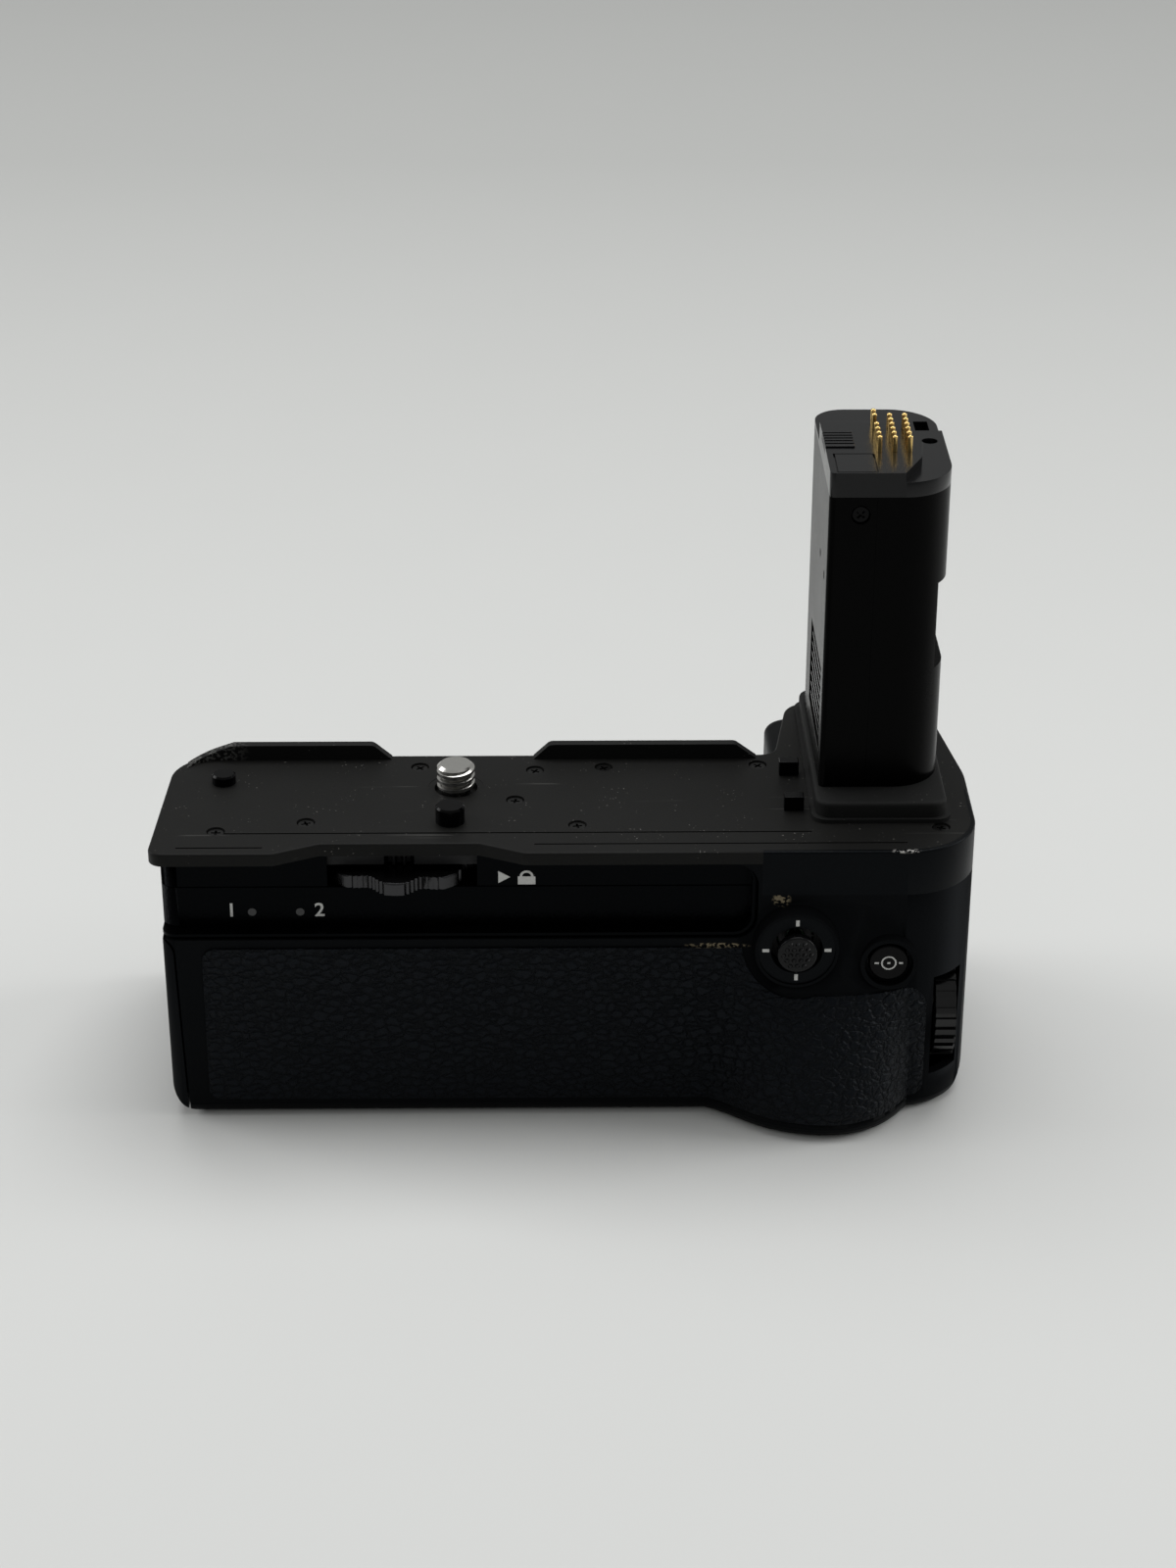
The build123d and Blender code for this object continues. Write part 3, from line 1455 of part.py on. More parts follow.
def dial(x, y, z, radius):
    """A ribbed command dial that turns about X."""
    core = radius - dial_rib_height
    face = Circle(core)
    width = 2 * math.pi * radius / dial_rib_count * dial_rib_share
    for index in range(dial_rib_count):
        rib = Pos(radius - dial_rib_height, 0) * Rectangle(dial_rib_height * 2, width)
        face = face + Rot(0, 0, index * 360 / dial_rib_count) * rib
    body = extrude(Plane(origin=(x - dial_width / 2, y, z), z_dir=(1, 0, 0)) * face, dial_width)
    reach = radius + overrun
    trim = rod((x - reach, y, z), (1, 0, 0), radius, reach * 2)
    bore = rod((x - reach, y, z), (1, 0, 0), dial_axle_radius + shaft_play, reach * 2)
    return (body & trim) - bore


def rear_bracket_left():
    """The left face of the rear dial's bracket."""
    return rear_dial_x - dial_width / 2 - moving_gap - dial_bracket_thickness


def front_bracket_left():
    """The left face of the front dial's bracket."""
    return front_dial_x + dial_width / 2 + moving_gap


def make_rear_bracket():
    """The upright that holds the rear dial's axle, standing on the base."""
    left = rear_bracket_left()
    plate = box_between(left, left + dial_bracket_thickness, rear_dial_y - rear_dial_radius / 2,
                        rear_dial_y + rear_dial_radius / 2, base_thickness,
                        rear_dial_z + rear_dial_radius / 2)
    return plate - make_rear_axle()


def make_rear_axle():
    """The rear dial's fixed axle."""
    left = rear_bracket_left()
    return rod((left, rear_dial_y, rear_dial_z), (1, 0, 0), dial_axle_radius,
               rear_dial_x + dial_width / 2 - left)


def make_front_bracket():
    """The upright that holds the front dial's axle and the shutter switch."""
    left = front_bracket_left()
    plate = box_between(left, left + dial_bracket_thickness, shutter_y - switch_size,
                        front_dial_y + front_dial_radius / 2, base_thickness,
                        front_dial_z + front_dial_radius / 2)
    return plate - make_front_axle()


def make_front_axle():
    """The front dial's fixed axle."""
    right = front_bracket_left() + dial_bracket_thickness
    return rod((right, front_dial_y, front_dial_z), (-1, 0, 0), dial_axle_radius,
               right - front_dial_x + dial_width / 2)


def make_shutter_button():
    """The shutter button on the front right."""
    front_x = shutter_face_x + lever_thickness + moving_gap + shutter_proud
    cap = rod((front_x - shutter_cap_length, shutter_y, shutter_z), (1, 0, 0), shutter_cap_radius,
              shutter_cap_length)
    return fillet(cap.edges().group_by(Axis.X)[-1], shutter_cap_round)


def make_shutter_lever():
    """The lock lever round the shutter button."""
    low_x = shutter_face_x + moving_gap
    ring = rod((low_x, shutter_y, shutter_z), (1, 0, 0), lever_outer, lever_thickness)
    tab = box_between(low_x, low_x + lever_thickness, shutter_y - lever_tab_width / 2,
                      shutter_y + lever_tab_width / 2, shutter_z + lever_inner,
                      shutter_z + lever_outer + lever_tab)
    sleeve = rod((low_x - lever_sleeve_length, shutter_y, shutter_z), (1, 0, 0), lever_sleeve,
                 lever_sleeve_length)
    bore = rod((low_x - overrun, shutter_y, shutter_z), (1, 0, 0), lever_inner, overrun * 2)
    return ring + tab + sleeve - bore


def side_button_back():
    """Where the end buttons stop inside."""
    return half - side_button_proud_gap - side_button_length


def make_side_button(z):
    """One small end button with its retaining flange."""
    cap = rod((side_button_back(), side_button_y, z), (1, 0, 0), side_button_radius, side_button_length)
    cap = fillet(cap.edges().group_by(Axis.X)[-1], button_cap_round)
    flange_x = half - shell_wall - fit_gap - button_flange_thickness
    flange = rod((flange_x, side_button_y, z), (1, 0, 0), side_button_radius + button_flange,
                 button_flange_thickness)
    return cap + flange


def make_battery_bay():
    """The chamber inside the body in which the tray runs: a floor and a hood that stands on it."""
    floor_z = bay_low_z + bay_floor
    floor = box_between(bay_left_x, bay_right_x, bay_near_y, bay_far_y, bay_low_z, floor_z)
    edges = floor.edges().filter_by(Axis.X).group_by(Axis.Z)[0].sort_by(Axis.Y)
    floor = fillet(edges[-1], bay_round) - socket_hole() - base_screw_holes()
    hood = box_between(bay_left_x, bay_right_x, bay_near_y, bay_far_y, floor_z, bay_top_z)
    inner = box_between(bay_left_x - overrun, bay_right_x - bay_wall, bay_near_y + bay_wall,
                        bay_far_y - bay_wall, floor_z - overrun, bay_top_z - bay_wall)
    hood = hood - inner - connector_form() - base_screw_holes()
    return joined([floor, hood])


def connector_form():
    """The connector in the bay's far end."""
    middle = tray_near_y + tray_width / 2
    return box_between(bay_right_x - bay_wall, bay_right_x, middle - connector_width / 2,
                       middle + connector_width / 2, battery_low_z, battery_low_z + connector_height)


def make_battery_tray():
    """The tray that carries two batteries end to end."""
    tray = box_between(door_x, tray_right_x, tray_near_y, tray_near_y + tray_width,
                       tray_low_z, tray_low_z + tray_wall_height)
    for index in range(2):
        left = door_x + tray_wall + index * (pocket_length + tray_wall)
        tray = tray - box_between(left, left + pocket_length, tray_near_y + tray_wall,
                                  tray_near_y + tray_width - tray_wall, battery_low_z, grip_height)
    return tray


def make_tray_terminals():
    """The contact strips at the inner end of each pocket."""
    middle = tray_near_y + tray_width / 2
    strips = []
    for index in range(2):
        right = door_x + (index + 1) * (pocket_length + tray_wall)
        strips.append(box_between(right - terminal_thickness, right, middle - terminal_width / 2,
                                  middle + terminal_width / 2, battery_low_z,
                                  battery_low_z + terminal_height))
    return joined(strips)


def make_tray_door():
    """The door at the left end, fixed to the tray."""
    skin = outer_form() & door_block(0)
    inset = shell_wall + moving_gap
    boss = box_between(door_high_x, door_x, inset, bay_far_y - bay_wall, base_thickness + moving_gap,
                       door_top_z - inset)
    boss = boss & (front_swell(inset, door_high_x, door_x)
                   + box_between(door_high_x, door_x, inset, seam_y, 0, grip_height))
    boss = boss & end_envelope(inset)
    dish_x = body_left_x + latch_dish_depth
    dish = rod((dish_x, latch_y, latch_z), (-1, 0, 0), latch_radius + latch_dish_margin, overrun)
    tongue_reach = math.hypot(latch_tongue_length, latch_tongue_width / 2) + moving_gap
    turn_room = rod((door_x - latch_tongue_thickness - moving_gap, latch_y, latch_z), (1, 0, 0),
                    tongue_reach, overrun)
    shaft = rod((-half, latch_y, latch_z), (1, 0, 0), latch_shaft_radius + shaft_play, overrun)
    return largest(skin + boss - dish - shaft - turn_room)


def make_latch():
    """The turning latch of the door, with its handle and tongue."""
    dish_x = body_left_x + latch_dish_depth
    disc_x = dish_x - moving_gap
    disc = rod((disc_x, latch_y, latch_z), (-1, 0, 0), latch_radius, latch_thickness)
    handle_x = disc_x - latch_thickness
    handle = box_between(handle_x - latch_handle_height, handle_x, latch_y - latch_handle_width / 2,
                         latch_y + latch_handle_width / 2, latch_z - latch_radius, latch_z + latch_radius)
    handle = handle & rod((-half - overrun, latch_y, latch_z), (1, 0, 0), latch_radius, overrun * 2)
    tongue_x = door_x - latch_tongue_thickness
    shaft = rod((disc_x, latch_y, latch_z), (1, 0, 0), latch_shaft_radius, tongue_x - disc_x)
    tongue = box_between(tongue_x, door_x, latch_y - latch_tongue_width / 2,
                         latch_y + latch_tongue_width / 2, latch_z - latch_tongue_width / 2,
                         latch_z + latch_tongue_length)
    return disc + handle + shaft + tongue


def socket_hole():
    """The space of the tripod socket in the base."""
    hole = rod((screw_x, screw_y, -overrun), (0, 0, 1), socket_outer, overrun + socket_length)
    flange = rod((screw_x, screw_y, -overrun), (0, 0, 1), socket_flange,
                 overrun + socket_flange_thickness)
    return hole + flange


def make_tripod_socket():
    """The threaded metal bush in the base for a tripod."""
    bush = rod((screw_x, screw_y, 0), (0, 0, 1), socket_outer, socket_length)
    flange = rod((screw_x, screw_y, 0), (0, 0, 1), socket_flange, socket_flange_thickness)
    return bush + flange - rod((screw_x, screw_y, -overrun), (0, 0, 1), screw_radius, overrun * 2)


def make_nodes():
    """Every piece under its own name."""
    base, rear, front = make_shells()
    stem_left, stem_right = make_stem_shells()
    switches = make_switches()
    rear_dial = (rear_dial_x, rear_dial_y, rear_dial_z)
    front_dial = (front_dial_x, front_dial_y, front_dial_z)
    low_button_z, high_button_z = side_button_levels()
    return {
        "rear_shell": rear,
        "front_shell": front,
        "base_cover": base,
        "top_plate": make_top_plate(),
        "front_lips": joined([lip(lip_left_shares), lip(lip_right_shares)]),
        "inner_frame": make_inner_frame(),
        "plate_screws": make_plate_screws(),
        "base_screws": make_base_screws(),
        "recess_panel": make_recess_panel(),
        "lamp_lenses": joined(lamp_rods()),
        "control_cover": cover_form(),
        "rear_leather": leather_skin(),
        "front_leather": front_leather_skin(),
        "left_locating_pin": make_locating_pin(left_pin_x, left_pin_y, left_pin_radius, left_pin_proud),
        "centre_locating_pin": make_locating_pin(centre_pin_x, centre_pin_y, centre_pin_radius,
                                                 centre_pin_proud),
        "lock_lugs": make_lugs(),
        "lock_wheel": make_lock_wheel(),
        "wheel_gear": make_wheel_gear(),
        "wheel_spindle": make_spindle(),
        "lock_bracket": make_lock_bracket(),
        "tripod_screw": make_tripod_screw(),
        "screw_gear": make_screw_gear(),
        "screw_bush": make_screw_bush(),
        "tripod_socket": make_tripod_socket(),
        "stem_left_shell": stem_left,
        "stem_right_shell": stem_right,
        "stem_cap": make_stem_cap(),
        "stem_screw": make_stem_screw(),
        "stem_ribbon": make_stem_ribbon(),
        "rib_block": make_rib_block(),
        "contact_block": make_contact_block(),
        "contact_pins": make_contact_pins(),
        "contact_board": make_contact_board(),
        "stem_collar": make_collar(),
        "joystick_ring": make_stick_ring(),
        "joystick_module": make_stick_module(),
        "joystick_gimbal": make_gimbal(),
        "joystick_post": make_stick_post(),
        "joystick_cap": make_stick_cap(),
        "function_button": make_function_button(),
        "button_switches": joined(switches),
        "control_board": make_control_board(),
        "side_board": make_side_board(),
        "main_board": make_main_board(),
        "rear_dial": dial(*rear_dial, rear_dial_radius),
        "rear_dial_bracket": make_rear_bracket(),
        "rear_dial_axle": make_rear_axle(),
        "front_dial": dial(*front_dial, front_dial_radius),
        "front_dial_bracket": make_front_bracket(),
        "front_dial_axle": make_front_axle(),
        "shutter_button": make_shutter_button(),
        "shutter_lock_lever": make_shutter_lever(),
        "low_end_button": make_side_button(low_button_z),
        "high_end_button": make_side_button(high_button_z),
        "battery_bay": make_battery_bay(),
        "bay_connector": connector_form(),
        "battery_tray": make_battery_tray(),
        "tray_terminals": make_tray_terminals(),
        "tray_door": make_tray_door(),
        "door_latch": make_latch(),
    }


def main():
    os.makedirs("parts", exist_ok=True)
    nodes = make_nodes()
    boxes = [shape.bounding_box() for shape in nodes.values()]
    low = [min(getattr(box.min, axis) for box in boxes) for axis in "XYZ"]
    high = [max(getattr(box.max, axis) for box in boxes) for axis in "XYZ"]
    middle_x = (low[0] + high[0]) / 2
    middle_y = (low[1] + high[1]) / 2
    print("low", [round(v, 2) for v in low], "high", [round(v, 2) for v in high])
    for name, shape in nodes.items():
        placed = Pos(-middle_x, -middle_y, -low[2]) * shape
        export_step(placed, f"parts/{name}.step")


main()
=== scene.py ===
# %% [markdown]
# # A camera battery grip
# This lesson dresses a finished set of solid pieces. The solids come from a CAD model and are loaded
# as a fixed frame. We give each one a finish, add the small printed marks and the grain that a solid
# model leaves out, and light it like a product photograph on a pale table.

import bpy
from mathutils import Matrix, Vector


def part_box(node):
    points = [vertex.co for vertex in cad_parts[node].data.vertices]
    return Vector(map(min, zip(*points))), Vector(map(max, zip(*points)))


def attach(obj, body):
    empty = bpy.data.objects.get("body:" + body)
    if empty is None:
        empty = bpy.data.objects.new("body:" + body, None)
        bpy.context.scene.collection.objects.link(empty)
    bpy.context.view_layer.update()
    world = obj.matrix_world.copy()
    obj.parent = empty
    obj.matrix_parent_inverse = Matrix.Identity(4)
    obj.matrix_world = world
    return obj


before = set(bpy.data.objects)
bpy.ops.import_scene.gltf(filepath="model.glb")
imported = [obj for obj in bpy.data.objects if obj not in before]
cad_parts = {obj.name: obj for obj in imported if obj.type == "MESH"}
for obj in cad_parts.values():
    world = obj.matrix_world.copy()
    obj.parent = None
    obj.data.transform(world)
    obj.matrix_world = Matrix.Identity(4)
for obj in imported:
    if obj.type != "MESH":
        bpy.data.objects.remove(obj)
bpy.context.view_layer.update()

import math

import bmesh
import bpy
from mathutils import Matrix, Vector

MM = 0.001

# %% [markdown]
# The measurements below were taken with the origin at the middle of the top plate's rear edge. The
# frame's origin is under the middle of the whole object, so one small function moves a place from the
# first to the second. The left locating pin is known in both, and it gives the shift between them.
# Using the function everywhere keeps every mark on the piece that carries it.

# %% Places on the grip
PIN_ACROSS = -57.4
PIN_BACK = 25.8
pin_low, pin_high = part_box("left_locating_pin")
SHIFT = Vector(((pin_low.x + pin_high.x) / 2 - PIN_ACROSS * MM,
                (pin_low.y + pin_high.y) / 2 - PIN_BACK * MM, 0))


def place(x, y, z):
    """A place in millimetres on the grip, as a point of the frame."""
    return Vector((x, y, z)) * MM + SHIFT


print("shift in mm", [round(v / MM, 2) for v in SHIFT])

# %% [markdown]
# The camera looks down at the palm side from about 27 degrees. Its place and its long lens were worked
# out from the photograph, so the render can be laid over it. It is made early, because every later
# choice is judged through it.

# %% Camera
FOCAL_PX = 3394
PHOTO_HEIGHT_PX = 1600
SENSOR_MM = 36
CAMERA_PLACE = (-3.30, -474.9, 306.4)
LOOK_ASIDE = -0.842
LOOK_DOWN = 27.19
LEAN = 0.151

camera = bpy.data.objects.new("camera", bpy.data.cameras.new("camera"))
bpy.context.scene.collection.objects.link(camera)
bpy.context.scene.camera = camera
camera.data.lens = FOCAL_PX / PHOTO_HEIGHT_PX * SENSOR_MM
camera.data.sensor_width = SENSOR_MM
camera.data.clip_start = 0.01
camera.data.clip_end = 50
turn = Matrix.Rotation(math.radians(LOOK_ASIDE), 4, "Z")
tilt = Matrix.Rotation(math.radians(90 - LOOK_DOWN), 4, "X")
roll = Matrix.Rotation(math.radians(LEAN), 4, "Z")
camera.matrix_world = Matrix.Translation(place(*CAMERA_PLACE)) @ turn @ tilt @ roll
print("lens", round(camera.data.lens, 1), "mm")

# %% [markdown]
# Finishes are sums of noise and masks. Written as node links these sums are long, so one class wraps a
# socket and lets Python's own signs add the Math nodes.

# %% Sums of sockets
class Wire:
    """A socket that can be added, multiplied and compared."""

    def __init__(self, finish, socket):
        self.finish = finish
        self.socket = socket

    def math(self, operation, *others):
        return self.finish.node("ShaderNodeMath", {"operation": operation}, self, *others)

    def __add__(self, other):
        return self.math("ADD", other)

    def __mul__(self, other):
        return self.math("MULTIPLY", other)

    def __sub__(self, other):
        return self.math("SUBTRACT", other)

    def __truediv__(self, other):
        return self.math("DIVIDE", other)

    def __rsub__(self, other):
        return (self * -1) + other

    __radd__ = __add__
    __rmul__ = __mul__

    def above(self, edge, soft):
        """0 below an edge and 1 above it, with a soft step."""
        ramp = ((self - edge) / soft) + 0.5
        return ramp.math("MAXIMUM", 0).math("MINIMUM", 1)

    def below(self, edge, soft):
        """1 below an edge and 0 above it, with a soft step."""
        return 1 - self.above(edge, soft)


print("socket class ready")

# %% [markdown]
# A second class holds one material. Any node comes from one method that takes its type, its settings
# and its inputs. Mix has several sockets called A and B, one pair for each kind of value, so the colour
# pair is picked by its place, which is safer than picking it by name.

# %% A material and its nodes
MIX_FACTOR = 0
MIX_COLOURS = (6, 7)
MIX_RESULT = 2


class Finish:
    """A material and its nodes."""

    def __init__(self, name):
        self.material = bpy.data.materials.new(name)
        self.material.use_nodes = True
        self.tree = self.material.node_tree
        self.shader = self.tree.nodes["Principled BSDF"]
        self.where = self.node("ShaderNodeTexCoord", output="Object")

    def plug(self, value, socket):
        """Links a wire to a socket, or gives the socket a plain value."""
        if isinstance(value, Wire):
            self.tree.links.new(value.socket, socket)
        else:
            socket.default_value = value

    def node(self, kind, settings=None, *values, output=0, **named):
        """Adds a node, gives it its settings and inputs, and returns one output."""
        made = self.tree.nodes.new(kind)
        for key, value in (settings or {}).items():
            setattr(made, key, value)
        for key, value in list(enumerate(values)) + list(named.items()):
            self.plug(value, made.inputs[key])
        return Wire(self, made.outputs[output])

    def feed(self, name, value):
        """Sets or links one input of the shader."""
        self.plug(value, self.shader.inputs[name])

    def axis(self, number):
        """One coordinate of the place: 0 is across, 1 is back, 2 is up."""
        return self.node("ShaderNodeSeparateXYZ", None, self.where, output=number)

    def noise(self, grain_mm, detail=2.0, where=None):
        """Noise whose lumps are about that many millimetres wide."""
        return self.node("ShaderNodeTexNoise", Vector=where or self.where, Scale=1 / (grain_mm * MM),
                         Detail=detail, Roughness=0.5)

    def blend(self, mask, low, high):
        """One colour where the mask is 0 and another where it is 1."""
        made = self.tree.nodes.new("ShaderNodeMix")
        made.data_type = "RGBA"
        self.plug(mask, made.inputs[MIX_FACTOR])
        for number, colour in zip(MIX_COLOURS, (low, high)):
            self.plug(colour if isinstance(colour, Wire) else (*colour, 1), made.inputs[number])
        return Wire(self, made.outputs[MIX_RESULT])

    def height(self, value, depth_mm):
        """A bump of that depth."""
        return self.node("ShaderNodeBump", Height=value, Distance=depth_mm * MM, Strength=1.0)


print("material class ready")

# %% [markdown]
# Black plastic is never evenly black. Three things can lie over its tone: pale dust, because real
# black plastic always shows some, ragged rubbed or chipped spots where the photograph shows them, and
# hair lines in painted metal. Each is a mask made of noise and a paler colour.

# %% Dust, rubbed spots and hair lines
DUST_TONE = (0.30, 0.29, 0.27)
BARE_TONE = (0.42, 0.41, 0.39)
RUBBED_TONE = (0.09, 0.09, 0.085)
HAIR_TONE = (0.060, 0.060, 0.057)
HAIR_RUNS = ((0.35, 0.0), (-0.6, 0.37))
HAIR_STRETCH_SHARE = 0.035


def dusted(finish, amount, tone):
    """Scatters pale specks over a tone, in loose patches."""
    specks = finish.noise(grain_mm=0.35, detail=0.0).above(edge=0.84 - amount, soft=0.03)
    patches = finish.noise(grain_mm=5.0, detail=1.0).above(edge=0.58, soft=0.1)
    return finish.blend(specks * patches * 0.5, tone, DUST_TONE)


def worn(finish, spots, colour, tone):
    """Lays ragged spots over a tone: each is a place, a reach in mm and its squash along the axes."""
    for centre, reach, squash in spots:
        ragged = finish.noise(grain_mm=0.5, detail=3.0).above(edge=0.52, soft=0.06)
        away = finish.node("ShaderNodeVectorMath", {"operation": "SUBTRACT"}, finish.where, tuple(centre))
        squashed = finish.node("ShaderNodeVectorMath", {"operation": "MULTIPLY"}, away, squash)
        distance = finish.node("ShaderNodeVectorMath", {"operation": "LENGTH"}, squashed, output=1)
        near = distance.below(edge=reach * MM, soft=0.5 * reach * MM)
        tone = finish.blend(near * ragged * 0.8, tone, colour)
    return tone


def scratches(finish, tone):
    """Hair lines in the paint: a noise stretched along one direction, cut to its thin crests."""
    for angle, start in HAIR_RUNS:
        along = finish.node("ShaderNodeMapping", None, finish.where, Rotation=(0, 0, angle),
                            Location=(start, 0, 0), Scale=(HAIR_STRETCH_SHARE, 1, 1))
        hair = finish.noise(grain_mm=0.9, detail=0.0, where=along).above(edge=0.83, soft=0.02)
        patch = finish.noise(grain_mm=14.0, detail=1.0).above(edge=0.5, soft=0.1)
        tone = finish.blend(hair * patch * 0.4, tone, HAIR_TONE)
    return tone


print("overlays ready")

# %% [markdown]
# Most of the grip is black, yet no two of its pieces are the same black. The casing is moulded with a
# fine grain, the plate is painted metal, the collar and lips are matt rubber. One recipe makes them
# all: a dark colour with a faint drift, a roughness that varies a little and a fine bump. The sheen is
# kept low, because these plastics hardly mirror the room unless they are seen at a glancing angle.

# %% The recipe for black
COOL_SHEEN = (0.80, 0.90, 1.0, 1)
DRIFT_MM = 9.0
TONE_DRIFT = 0.14
ROUGH_DRIFT = 0.06
ROUGH_GRAIN = 0.08


def black(name, colour, rough, grain_mm, depth_mm, shine, dust=0.0, scratched=False, spots=(),
          worn_tone=BARE_TONE):
    """A black moulded or painted finish."""
    finish = Finish(name)
    finish.feed("Specular IOR Level", shine)
    drift = finish.noise(DRIFT_MM, detail=3.0)
    grain = finish.noise(grain_mm)
    tone = finish.blend(drift, [c * (1 - TONE_DRIFT) for c in colour], [c * (1 + TONE_DRIFT) for c in colour])
    if scratched:
        tone = scratches(finish, tone)
    tone = worn(finish, spots, worn_tone, tone)
    if dust:
        tone = dusted(finish, dust, tone)
    even_rough = rough - (ROUGH_DRIFT + ROUGH_GRAIN) / 2
    finish.feed("Base Color", tone)
    finish.feed("Roughness", drift * ROUGH_DRIFT + grain * ROUGH_GRAIN + even_rough)
    finish.feed("Normal", finish.height(grain, depth_mm))
    return finish


print("recipe ready")

# %% [markdown]
# The recipe is used once for each kind of black on the grip. The cover band is chipped at its top edge,
# and the two lips are rubbed where a camera's base slides over them. The casing and the band get a
# slightly cool sheen, as they have in the photograph; paint and rubber stay neutral.

# %% The black finishes
BAND_CHIP = (place(55.6, 0.0, 49.8), 1.5, (0.7, 1, 5))
LIP_RUBS = (
    (place(-1.2, 43.4, 52.0), 2.4, (0.6, 0.4, 0.6)),
    (place(-60.5, 43.4, 52.0), 5.0, (0.8, 0.3, 0.6)),
)

finishes = {
    "shell": black("moulded_casing", (0.0022, 0.0023, 0.0025), rough=0.40, grain_mm=0.28, depth_mm=0.020,
                   shine=0.07),
    "plate": black("painted_plate", (0.0072, 0.0072, 0.0068), rough=0.48, grain_mm=0.22, depth_mm=0.012,
                   shine=0.09, dust=0.03, scratched=True),
    "cover": black("cover_band", (0.0016, 0.0018, 0.0021), rough=0.40, grain_mm=0.28, depth_mm=0.020,
                   shine=0.07, spots=[BAND_CHIP]),
    "rubber": black("soft_rubber", (0.0060, 0.0062, 0.0060), rough=0.70, grain_mm=0.30, depth_mm=0.015,
                    shine=0.18, dust=0.03),
    "lip": black("lip_rubber", (0.0040, 0.0041, 0.0040), rough=0.55, grain_mm=0.30, depth_mm=0.015,
                 shine=0.16, dust=0.03, spots=LIP_RUBS, worn_tone=RUBBED_TONE),
    "control": black("control_plastic", (0.0026, 0.0027, 0.0030), rough=0.26, grain_mm=0.35,
                     depth_mm=0.006, shine=0.18),
    "stem": black("stem_plastic", (0.0006, 0.0006, 0.0006), rough=0.25, grain_mm=0.60, depth_mm=0.003,
                  shine=0.04),
    "cap": black("stem_cap_plastic", (0.0018, 0.0019, 0.0023), rough=0.22, grain_mm=0.30, depth_mm=0.006,
                 shine=0.26),
    "gloss": black("gloss_button", (0.0010, 0.0010, 0.0012), rough=0.16, grain_mm=0.80, depth_mm=0.002,
                   shine=0.09),
    "dial": black("dial_plastic", (0.0010, 0.0010, 0.0012), rough=0.20, grain_mm=0.60, depth_mm=0.003,
                  shine=0.40),
    "screw": black("black_steel", (0.0080, 0.0080, 0.0078), rough=0.34, grain_mm=0.30, depth_mm=0.006,
                   shine=0.30),
    "inner": black("inner_plastic", (0.0080, 0.0080, 0.0085), rough=0.55, grain_mm=0.40, depth_mm=0.010,
                   shine=0.25),
}
finishes["screw"].feed("Metallic", 0.6)
for finish_name in ("shell", "cover"):
    finishes[finish_name].feed("Specular Tint", COOL_SHEEN)
print("black finishes", len(finishes))

# %% [markdown]
# The recess above the leather has a coarser speckle that glints. Its walls are part of the rear casing,
# so the casing's finish looks at its own coordinates and turns the speckle on inside the recess only,
# with a nearly black colour there that is painted shade of the deep recess. The thin lining on the
# recess's back wall is a piece of its own and has the speckle and the painted shade all over. A few
# pale crumbs lie where the joystick's seat and the covering's top edge have collected them.

# %% Speckled recess
RECESS_CORNER = (30, 0.35, 34.6)
RECESS_DEPTH_MM = 0.05
CRUMB_TONE = (0.24, 0.20, 0.13)
SEAT_CRUMBS = (place(35.4, 0.0, 41.0), 1.1, (0.8, 0.3, 1))
EDGE_CRUMBS = (place(25.0, 0.0, 32.5), 1.3, (0.28, 0.4, 3.5))


def within_recess(finish):
    """1 inside the recess, which ends at its low right corner, and 0 elsewhere."""
    corner = place(*RECESS_CORNER)
    up = finish.axis(2).above(edge=corner.z, soft=0.4 * MM)
    back = finish.axis(1).above(edge=corner.y, soft=0.2 * MM)
    across = finish.axis(0).below(edge=corner.x, soft=0.4 * MM)
    return up * back * across


def speckled(name, everywhere):
    """The casing's plastic, with glinting speckle and painted shade in the recess or all over."""
    finish = Finish(name)
    coarse = finish.noise(grain_mm=0.62, detail=1.0)
    if everywhere:
        inside = 1.0
        depth = finish.height(coarse, RECESS_DEPTH_MM)
        rough = coarse * 0.16 + 0.25
    else:
        grain = finish.noise(grain_mm=0.28)
        inside = within_recess(finish)
        depth = finish.height(grain * (1 - inside) * 0.4 + coarse * inside, RECESS_DEPTH_MM)
        rough = grain * ROUGH_GRAIN + 0.42 - inside * 0.14
    drift = finish.noise(DRIFT_MM, detail=3.0)
    tone = finish.blend(drift, (0.0024, 0.0026, 0.0029), (0.0032, 0.0034, 0.0037))
    # Inside the recess the colour is painted nearly black: painted shade of the deep recess.
    tone = finish.blend(inside, tone, (0.0004, 0.0004, 0.0005))
    tone = worn(finish, (SEAT_CRUMBS, EDGE_CRUMBS), CRUMB_TONE, tone)
    finish.feed("Specular IOR Level", 0.04)
    finish.feed("Specular Tint", COOL_SHEEN)
    finish.feed("Base Color", tone)
    finish.feed("Roughness", rough)
    finish.feed("Normal", depth)
    return finish


finishes["rear_shell"] = speckled("rear_casing", everywhere=False)
finishes["recess"] = speckled("recess_lining", everywhere=True)
print("recess finish ready")

# %% [markdown]
# The grip covering is embossed rubber: flat pebbles with fine creases between them. Voronoi cells give
# the pebbles and the distance to the cell's edge gives the creases. The places are first pushed about
# by noise, so that no crease runs straight. The creases get a darker colour than the pebble tops, which
# is painted shade in the creases.

# %% Leather grain
PUSH_SCALE = 700.0
PUSH_MM = 1.5
CELL_MM = 1.55
FINE_CELL_MM = 0.7
PEBBLE_LEAN = 0.5
PEBBLE_STRETCH = (0.72, 1, 1.15)


